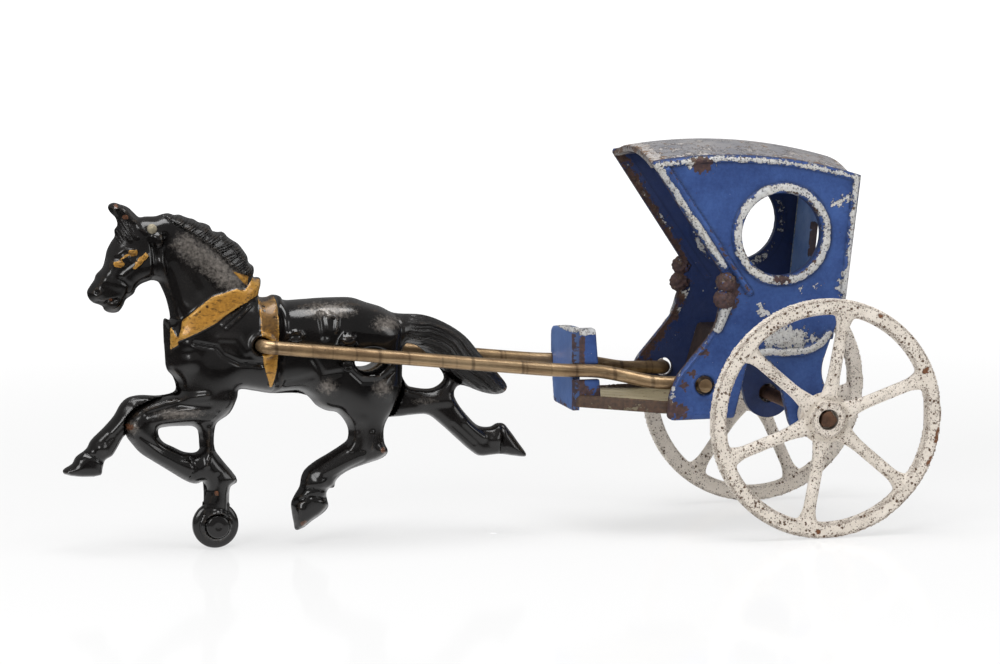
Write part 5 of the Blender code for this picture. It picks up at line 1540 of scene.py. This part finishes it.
    def back(self) -> Shell:
        """Sloping back with its small window: its inner face follows back_x and is painted a lighter blue, as painted
        light on a face in shade.
        """
        corners = ((0, 78.0, 0), (4.5, 78.0, 0.6), (4.5, 88.0, 0.6), (-4.5, 88.0, 0.6), (-4.5, 78.0, 0.6), (0, 78.0, 0))
        edge = box(-self.half, 56.0, self.half, float(self.roof_z(12.6)) - 1.2)
        loop = Loops([edge, np.array(rounded(corners))[:-1]])

        def worn(p: Array, depth: Array) -> Masks:
            """Rust on the window's edge and a pale crease."""
            crease = Form(((18.7, 62.0), (18.7, 104.0)), 1.0, 1.2).rise(p)
            rust = np.where(distance(p, (0.0, 83.0)) < 9.0, 1.1, 0.3) * fade(depth, 0.9)
            return {"white": np.maximum(crease, 0.2 * fade(depth, 1.5)), "rust": rust}
        shell = Plate(
            loop, 0.5, front=lambda p: 2.5 - loop.rim(p, 0.35, 0.45), back=0.0,
            lay=upright(self.back_x, 1), masks=worn,
        ).build()
        # The inner face is painted lighter rather than darker: painted light.
        shell.masks["faded"] = 0.85 * shell.masks.pop("inner")
        return shell

    def seat(self) -> Shell:
        """Seat board and its sloping riser."""
        board = Loops([box(-22.4, -self.half, float(self.back_x(57.4)) - 0.3, self.half)])
        riser = Loops([box(-self.half, 39.2, self.half, 56.9)])

        def worn(p: Array, depth: Array) -> Masks:
            """Rust all over, and more at the edges."""
            return {"rust": 0.35 + 0.3 * fade(depth, 2.0)}
        return merged([
            Plate(board, 0.6, front=lambda p: self.seat_z - board.rim(p, 0.3, 0.5), back=self.seat_z - 2.4,
                  lay=upwards, masks=worn).build(),
            Plate(riser, 0.6, front=lambda p: -riser.rim(p, 0.3, 0.5), back=-2.3,
                  lay=upright(lambda z: -28.2 + (z - 39.3) * (5.6 / 18.1), -1), masks=worn).build(),
        ])

    def floor(self) -> Shell:
        """Floor with planks, narrowing to the dash. Its rows hold place, half width and underside."""
        rows = np.array([(-69.5, 11.8, 38.2), (-44.4, 19.3, 36.2), (-24.6, 19.3, 35.6)])
        loop = Loops([np.vstack([rows[:, :2] * [1, -1], rows[:0:-1, :2], [(-69.5, 8.6)]])])

        def row(p: Array, column: int) -> Array:
            """One reading of the rows at each point."""
            return np.interp(p[:, 0], rows[:, 0], rows[:, column])

        def aside(p: Array) -> Array:
            """Distance in from the sloping sides."""
            return row(p, 1) - np.abs(p[:, 1])

        def planks(p: Array) -> Array:
            """Joints between boards that run lengthwise, and a raised rail along each side."""
            joint = -0.4 * bell((p[:, 1] + 203.2) % 6.4 - 3.2, 0.3) * ease((loop.depth(p) - 1.6) / 0.8)
            return joint + ease((1.7 - aside(p)) / 0.5) * ease((p[:, 0] + 69.5) / 2.0)
        return Plate(
            loop, 0.5, relief=planks, front=lambda p: row(p, 2) + 2.6 - loop.rim(p, 0.35, 0.6),
            back=lambda p: row(p, 2), lay=upwards,
            masks=lambda p, _: {"rust": 0.12 + 0.55 * ease((2.4 - aside(p)) / 1.2)},
        ).build()

    def dash(self) -> Shell:
        """Dash board and its two side flanges, notched for the shafts."""
        at = shaft_z(-69.0)
        notch = [(12.0, at - 2.3, 0.3), (10.0, at - 2.3, 1.2), (10.0, at + 2.3, 1.2), (12.0, at + 2.3, 0.3)]
        corners = [
            (0, 37.0, 0), (9.0, 37.0, 0.8), (11.2, at - 2.3, 0.3), *notch[1:], (12.0, 58.9, 2.4), (0.0, 60.8, 6.0),
            (-12.0, 61.4, 1.0), *[(-y, z, r) for y, z, r in reversed(notch)], (-12.0, 37.0, 0.8), (0, 37.0, 0),
        ]
        plate = Loops([np.array(rounded(corners))[:-1]])

        def worn(p: Array, depth: Array) -> Masks:
            """White worn top edge, a rusty band, rusty corners, and a lighter blue all over as painted light."""
            y, z = p.T
            top = 0.8 * ease((z - 59.2) / 1.2)
            corner = 0.62 * ease((-10.9 - y) / 0.7) * (1 - top)
            rust = np.max([0.44 * ease((40.4 - z) / 2.4), corner, 0.3 * fade(depth, 0.6)], axis=0)
            return {"white": np.maximum(top, 0.25 * fade(depth, 0.8)), "rust": rust, "faded": np.full(len(p), 0.3)}
        board = Plate(
            plate, 0.4, front=lambda p: -plate.rim(p, 0.35, 0.5), back=-2.1,
            lay=upright(lambda z: self.dash_x, -1), masks=worn,
        ).build()
        mid = shaft_z(-65.8)
        return merged([board] + [self.flange(*ends) for ends in (
            (Side.NEAR, self.flange_z, mid - 2.25, 0.4), (Side.NEAR, mid + 2.25, 61.0, 1.2),
            (Side.FAR, self.flange_z, mid - 2.25, 0.4), (Side.FAR, mid + 2.25, 58.4, 1.2),
        )])

    def flange(self, side: Side, z0: float, z1: float, corner: float) -> Shell:
        """One length of a flange above or below a shaft, its rear edge leaning forwards."""
        rear0, rear1 = (-61.2 - 1.5 * (z - self.flange_z) / 20.2 for z in (z0, z1))
        rim = Loops([np.array(rounded([(self.flange_x, z0, 0), (rear0, z0, 0.5), (rear1, z1, corner),
                                       (self.flange_x, z1, 0)]))])

        def worn(p: Array, depth: Array) -> Masks:
            """A mottled brown strip at the front corner, white at its top, and a dull lower part."""
            x, z = p.T
            strip = 0.62 * ease((-65.4 - x) / 1.2) * ease((59.6 - z) / 1.2)
            top = 0.85 * ease((z - 58.4) / 1.2)
            rust = np.max([strip, 0.5 * ease((46.0 - z) / 3.0), 0.42 * fade(depth, 0.5)], axis=0)
            return {"white": np.maximum(top, 0.5 * strip), "rust": rust * (1 - 0.5 * top)}
        return Plate(
            rim, 0.4, front=lambda p: 11.95 - rim.rim(p, 0.35, 0.5), back=10.2, lay=across(side), masks=worn,
        ).build()

    def make(self, blue: Paint, roof_paint: Paint, iron: Paint, planks: Paint) -> None:
        """Build and dress every piece of the cab."""
        rows = (
            ("cab_side_left", self.side(Side.NEAR), "cab_side_left_paint", "side_panel_left", blue),
            ("cab_side_right", self.side(Side.FAR), "cab_side_right_paint", "side_panel_right", blue),
            ("cab_roof", self.roof(), "roof_paint", "roof_and_back", roof_paint),
            ("cab_back", self.back(), "roof_paint", "roof_and_back", blue),
            ("cab_seat", self.seat(), "seat_iron", "seat", iron),
            ("cab_floor", self.floor(), "footboard_paint", "footboard", planks),
            ("cab_dash", self.dash(), "footboard_paint", "footboard", blue),
        )
        for name, shell, slot, node, paint in rows:
            make_piece(name, shell, "carriage", slot, node, paint)


@dataclass
class RunningGear:
    """Cab wheels on their axle, and the guide wheel on its pin."""

    radius: float = 35.0
    rim: float = 4.7
    width: float = 3.8
    face_y: float = 36.2
    hub_r: float = 5.2
    hub_in_y: float = 22.9
    hub_out_y: float = 37.2
    bore_r: float = 2.25
    mouth_r: float = 3.05
    axle_r: float = 1.95
    spoke_half: float = 1.75
    spoke_thick: float = 1.35
    spoke_edge: float = 0.3
    joint: float = 0.25
    step: float = 0.42

    @property
    def middle(self) -> float:
        """Place across of the rim's middle plane."""
        return self.face_y - self.width / 2

    def rise(self, shape: SpokedDisc, p: Array, hub: float) -> Array:
        """Height off the middle plane.

        The rim's section is a rounded box, a spoke's is an ellipse of its half width, and the hub
        is a boss with a groove. They join as k times the logarithm of the sum of exp(height / k).
        """
        r, ring, _ = shape.parts(p)
        depth = shape.depth(p)
        rim = np.where(ring > 0, 1.2 + 0.7 * quarter(ring / 0.9), 0.0)
        spoke = self.spoke_edge + (self.spoke_thick - self.spoke_edge) * quarter(depth / self.spoke_half)
        swell = 0.45 * bell(r - self.hub_r, 2.6) - 0.3 * bell(r - self.hub_r - 0.5, 0.3)
        boss = (hub - 0.3 * bell(r - 4.1, 0.3)) * (1 - ease((r - self.hub_r + 0.15) / 0.6))
        lip = 0.35 * bell(depth, 0.35) * (r < self.hub_r)
        heights = np.stack([rim, spoke + swell * ease(depth / 1.5), boss - lip])
        return self.joint * np.log(np.exp(heights / self.joint).sum(0))

    def disc(self, side: Side, turn: float) -> Shell:
        """Rim, spokes and hub face in one relief to both sides of the middle plane, and the barrel."""
        shape = SpokedDisc(self.radius, self.rim, self.hub_r + 1.3, self.mouth_r, self.spoke_half, turn)
        face = Plate(
            shape, self.step, front=lambda p: self.rise(shape, p, self.hub_out_y - self.middle),
            back=lambda p: -self.rise(shape, p, 1.4), lay=lambda p, h: across(side)(p, self.middle + h),
            ridge_scale=0.3, masks=self.wear,
        ).build()
        barrel = [
            (self.bore_r, self.hub_in_y, 0), (self.hub_r - 0.2, self.hub_in_y, 0.5),
            (self.hub_r, self.middle - 3.6, 1.6), (self.hub_r + 2.6, self.middle - 0.9, 0.5),
            (self.bore_r, self.middle - 0.6, 0),
        ]
        profile = [(r, side.value * y) for r, y in rounded(barrel)]
        return merged([face, turned((0.0, AXLE_Z), profile, 56, closed=True)])

    def wear(self, points: Array, depth: Array) -> Masks:
        """A rust patch on the rim and a darker ring round the hub at the roots of the spokes."""
        x, z = (points - [0.0, AXLE_Z]).T
        r, a = np.hypot(x, z), np.degrees(np.arctan2(z, x))
        spots = [0.66 * np.exp(-((a - at) / wide) ** 2 - ((r - far) / deep) ** 2) for at, wide, far, deep in RIM_RUST]
        return {
            "rust": np.max(spots, axis=0), "hollow": 0.5 * bell(r - self.hub_r - 0.9, 0.8),
            "line": 0.62 * bell(self.radius - 0.7 - r, 0.45),
        }

    def axle(self) -> Shell:
        """Axle bar: a plain bar, with a cut and dented end in each hub's mouth."""
        end = self.hub_out_y - 0.9
        shell = pin((0.0, AXLE_Z), [
            (self.axle_r, 0.0, 0), (self.axle_r, end, 0.1), (self.axle_r + 0.4, end + 0.1, 0.1),
            (self.axle_r + 0.3, end + 0.75, 0.3), (0.9, end + 1.15, 0.2), (0.3, end + 0.9, 0),
        ], 48)
        x, y, z = shell.points.T
        a = np.arctan2(z - AXLE_Z, x)
        dent = 1 + (0.09 * np.cos(3 * a + 1.0) + 0.05 * np.cos(5 * a)) * ease((np.abs(y) - end + 0.1) / 0.3)
        shell.points = np.stack([x * dent, y, AXLE_Z + (z - AXLE_Z) * dent], 1)
        return shell

    def guide_wheel(self) -> Shell:
        """Small solid wheel with a crowned tread and a bore."""
        loop = [
            (1.4, -1.6, 0), (5.6, -1.6, 0.6), (6.7, -0.9, 0.4), (6.72, 0.0, 0.3), (6.7, 0.9, 0.4),
            (5.6, 1.6, 0.6), (1.4, 1.6, 0),
        ]
        return turned(GUIDE, rounded(loop), 72, closed=True)

    def make(self, cream: Paint, iron: Paint, black: Paint) -> None:
        """Build and dress the wheels and the axle."""
        for side, name, turn in ((Side.NEAR, "wheel_left", 19.3), (Side.FAR, "wheel_right", 54.0)):
            make_piece("cab_" + name, self.disc(side, turn), name, name + "_paint", name, cream)
        make_piece("cab_axle", self.axle(), "axle", "axle_iron", "axle", iron)
        make_piece("front_guide_wheel", self.guide_wheel(), "guide_wheel", "guide_wheel_paint", "guide_wheel", black)


@dataclass
class Shafts:
    """One bent wire: both shafts and the bar through the horse's shoulders."""

    radius: float = 1.95
    narrow_y: float = 12.3
    wide_y: float = 17.35
    narrow_x: float = -64.0
    end_y: float = 22.6
    rear_bend: float = 2.6
    front_bend: float = 2.8

    def half(self) -> Array:
        """Middle line of one shaft: quarter circles at both ends, an eased sweep and a straight run."""
        a = np.linspace(0, math.pi / 2, 12)
        x0, x1 = CAB_HOLE[0] - self.rear_bend, WIRE_HOLE[0] + self.front_bend
        first = np.stack([x0 + self.rear_bend * np.cos(a), self.wide_y + self.rear_bend * (1 - np.sin(a))], 1)
        t = np.linspace(0, 1, 30)[1:]
        across_y = self.wide_y + (self.narrow_y - self.wide_y) * ease(t * 1.25 - 0.2)
        sweep = np.stack([x0 + (self.narrow_x - x0) * t, across_y], 1)
        run = np.stack([np.linspace(self.narrow_x, x1, 40)[1:], np.full(39, self.narrow_y)], 1)
        last = np.stack([x1 - self.front_bend * np.sin(a), self.narrow_y - self.front_bend * (1 - np.cos(a))], 1)[1:]
        x, y = np.vstack([[CAB_HOLE[0], self.end_y], first, sweep, run, last]).T
        return np.stack([x, y, shaft_z(x) + 0.65 * bell(x + 63.0, 8.0) - 0.75 * bell(x + 46.0, 7.0)], 1)

    def make(self, wire: Paint) -> None:
        """Build and dress the wire."""
        half = self.half()
        path = np.vstack([half * [1, -1, 1], half[::-1]])
        make_piece("shafts", rod(path, self.radius, 28, 0.3), "carriage", "shaft_wire_steel", "shaft_wire", wire)


@dataclass
class Rivets:
    """The neck rivet, the flank rivet and the guide wheel's pin."""

    shank: Tuple[float, float, float] = (1.1, 0.0, 0)

    def make(self, black: Paint, bright: Paint) -> None:
        """Build and dress the three pins."""
        neck = ((1.1, 3.6, 0.1), (1.5, 3.7, 0.3), (1.45, 4.9, 0.6), (0.2, 5.2, 0))
        flank = (
            (1.1, 8.2, 0.1), (1.75, 8.3, 0.2), (1.7, 12.3, 0.3), (1.0, 12.35, 0.2), (0.8, 11.9, 0.2),
            (0.2, 11.85, 0),
        )
        guide = ((1.1, 3.4, 0.1), (3.3, 3.5, 0.3), (3.3, 4.6, 0.5), (1.2, 5.1, 0.6), (0.6, 4.9, 0.2), (0.1, 4.9, 0))
        for name, centre, head, node, paint in (
            ("neck_rivet_head", (-191.3, 93.2), neck, "neck_rivet", bright),
            ("flank_rivet_head", (-136.5, 52.94), flank, "flank_rivet", black),
            ("guide_pin_head", GUIDE, guide, "guide_wheel_pin", black),
        ):
            slot = name.replace("head", "iron")
            make_piece(name, pin(centre, [self.shank, *head], 40), "carriage", slot, node, paint)


@dataclass
class Studio:
    """White floor, soft lamps, and the camera at the photograph's angle."""

    eye: Tuple[float, float, float] = (-0.326095, -1.256452, 0.229849)
    azimuth: float = -14.65
    elevation: float = 7.48
    roll: float = -0.30
    lens: float = 162.0

    @staticmethod
    def placed(name: str, data: bpy.types.ID) -> bpy.types.Object:
        """Put a mesh, camera or lamp into the scene."""
        item = bpy.data.objects.new(name, data)
        bpy.context.scene.collection.objects.link(item)
        return item

    def camera(self) -> None:
        """Set the camera: its back points from the toy to the eye, and it rolls about that line."""
        a, e, w = math.radians(self.azimuth), math.radians(self.elevation), math.radians(self.roll)
        back = Vector((math.sin(a) * math.cos(e), -math.cos(a) * math.cos(e), math.sin(e)))
        right = Vector((math.cos(a), math.sin(a), 0.0))
        up = back.cross(right)
        r, u = right * math.cos(w) + up * math.sin(w), up * math.cos(w) - right * math.sin(w)
        data = bpy.data.cameras.new("photo_camera")
        data.lens, data.sensor_width, data.sensor_fit = self.lens, 36.0, "HORIZONTAL"
        data.clip_start, data.clip_end = 0.01, 100.0
        item = self.placed("photo_camera", data)
        item.matrix_world = Matrix.Translation(self.eye) @ Matrix((r, u, back)).transposed().to_4x4()
        bpy.context.scene.camera = item

    def lamp(self, name: str, place: Sequence[float], aim: Sequence[float], size: Pair, power: float) -> None:
        """A rectangular soft lamp at a place, turned to its aim."""
        data = bpy.data.lights.new(name, "AREA")
        data.shape, data.size, data.size_y, data.energy = "RECTANGLE", size[0], size[1], power
        item = self.placed(name, data)
        item.location = place
        item.rotation_euler = (Vector(aim) - Vector(place)).to_track_quat("-Z", "Y").to_euler()

    def floor(self) -> None:
        """Pale floor that shows white to the camera and keeps the toy's shadow and a faint gloss."""
        a = np.linspace(0, 2 * math.pi, 96, endpoint=False)
        r = np.concatenate([[0.001], np.geomspace(0.2, 14.0, 12)])[:, None]
        rings = np.stack([r * np.cos(a), r * np.sin(a), 0 * r * a], -1)
        mesh = bpy.data.meshes.new("studio_floor")
        mesh.from_pydata(rings.reshape(-1, 3).tolist(), [], ring_faces(*rings.shape[:2])[:, ::-1].tolist())
        mesh.materials.append(self.white())
        self.placed("studio_floor", mesh)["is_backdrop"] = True

    @staticmethod
    def white() -> Paint:
        """The floor's material: it glows to the camera, and less so in glossy paint close to it."""
        d = Bench("studio_white")
        for key, value in (("Base Color", (0.9, 0.9, 0.9, 1.0)), ("Roughness", 0.08), ("Specular IOR Level", 0.22)):
            d.put(d.shader.inputs[key], value)
        camera, glossy, through, length = d.rays("Ray Length")
        far = d.out("VectorMath", {0: d.where}, "Value", operation="LENGTH")
        near = d.maths("SUBTRACT", 1.0, d.step(length, 0.045, 0.16))
        strength = (d.step(far, 0.15, 0.9) * 0.6 + 1.03) * (camera | through | glossy * near)
        glow = d.out("Emission", {"Strength": strength})
        share = (camera | glossy | through) * 0.6 | glossy * 0.92
        blend = d.out("MixShader", {0: share, 1: Value(d, d.shader.outputs[0]), 2: glow})
        d.put(d.tree.nodes["Material Output"].inputs["Surface"], blend)
        return d.material

    @staticmethod
    def world() -> None:
        """Pale surroundings that show white behind the floor."""
        world = bpy.data.worlds.new("studio_air")
        bpy.context.scene.world = world
        world.use_nodes = True
        d = Desk(world.node_tree)
        sky = world.node_tree.nodes["Background"]
        camera, glossy, through = d.rays()
        d.put(sky.inputs["Strength"], (camera | through | glossy * 0.1) * 0.75 + 0.25)
        d.put(sky.inputs["Color"], (1.0, 1.0, 1.0, 1.0))

    def make(self) -> None:
        """Set up everything that isn't part of the toy."""
        self.camera()
        self.floor()
        self.world()
        self.lamp("top_softbox", (-0.1, -0.1, 1.3), (0.0, 0.0, 0.0), (1.1, 0.7), 17.0)
        self.lamp("front_left_softbox", (-1.1, -1.1, 0.8), (0.0, 0.0, 0.05), (0.7, 0.7), 11.0)
        self.lamp("right_softbox", (1.2, -0.9, 0.6), (0.0, 0.0, 0.05), (0.6, 0.8), 4.5)
        bpy.context.scene.view_settings.view_transform = "Standard"


def main() -> None:
    """Build the toy piece by piece and dress it."""
    logging.basicConfig(level=logging.INFO, format="%(name)s: %(message)s")
    cad = [list(corner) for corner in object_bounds()]
    effects = {effect: grouped(effect) for effect in (chips, specks, skin, clouds, runs, dots)}
    black = BlackEnamel().make(effects)
    blue = BlueEnamel().make(effects)
    # The roof's grey paint is partly wear and partly painted light and reflection on a top-lit roof seen at a grazing
    # angle.
    roof = BlueEnamel(
        name="roof_enamel_worn_and_painted_reflection", deep="62656f", light="9c9896", ground="aaa5a2", cream="b9b1a9", rust="97795c",
        wear=0.26, rusting=0.24,
    ).make(effects)
    # The inner colours here darken the floor's underside: painted shade, with brown staining.
    planks = BlueEnamel(
        name="worn_floor_paint", deep="7c7157", light="b9ac8c", ground="c9c1a6", cream="d6cdb4", rust="6a4c38",
        inner="4a4436", stain="3a2e24", wear=0.02, rusting=0.16,
    ).make(effects)
    cream = SpeckledCream().make(effects)
    iron = RustedIron(dark="35271f", bright="74523c", shine=0.55).make(effects)
    # A darker, duller copy of the rusted iron for the seat inside the cab: painted shade.
    seat = RustedIron(name="seat_iron_painted_shade", dark="1f1a1c", bright="4d3d36", shine=0.2).make(effects)
    bright = RustedIron(name="bright_rivet", dark="77705f", bright="b3aa94", shine=0.6).make(effects)
    wire = DrawnWire().make(effects)
    Horse().make(black)
    CabBody().make(blue, roof, seat, planks)
    RunningGear().make(cream, iron, black)
    Shafts().make(wire)
    Rivets().make(black, bright)
    Studio().make()


if __name__ == "__main__":
    main()
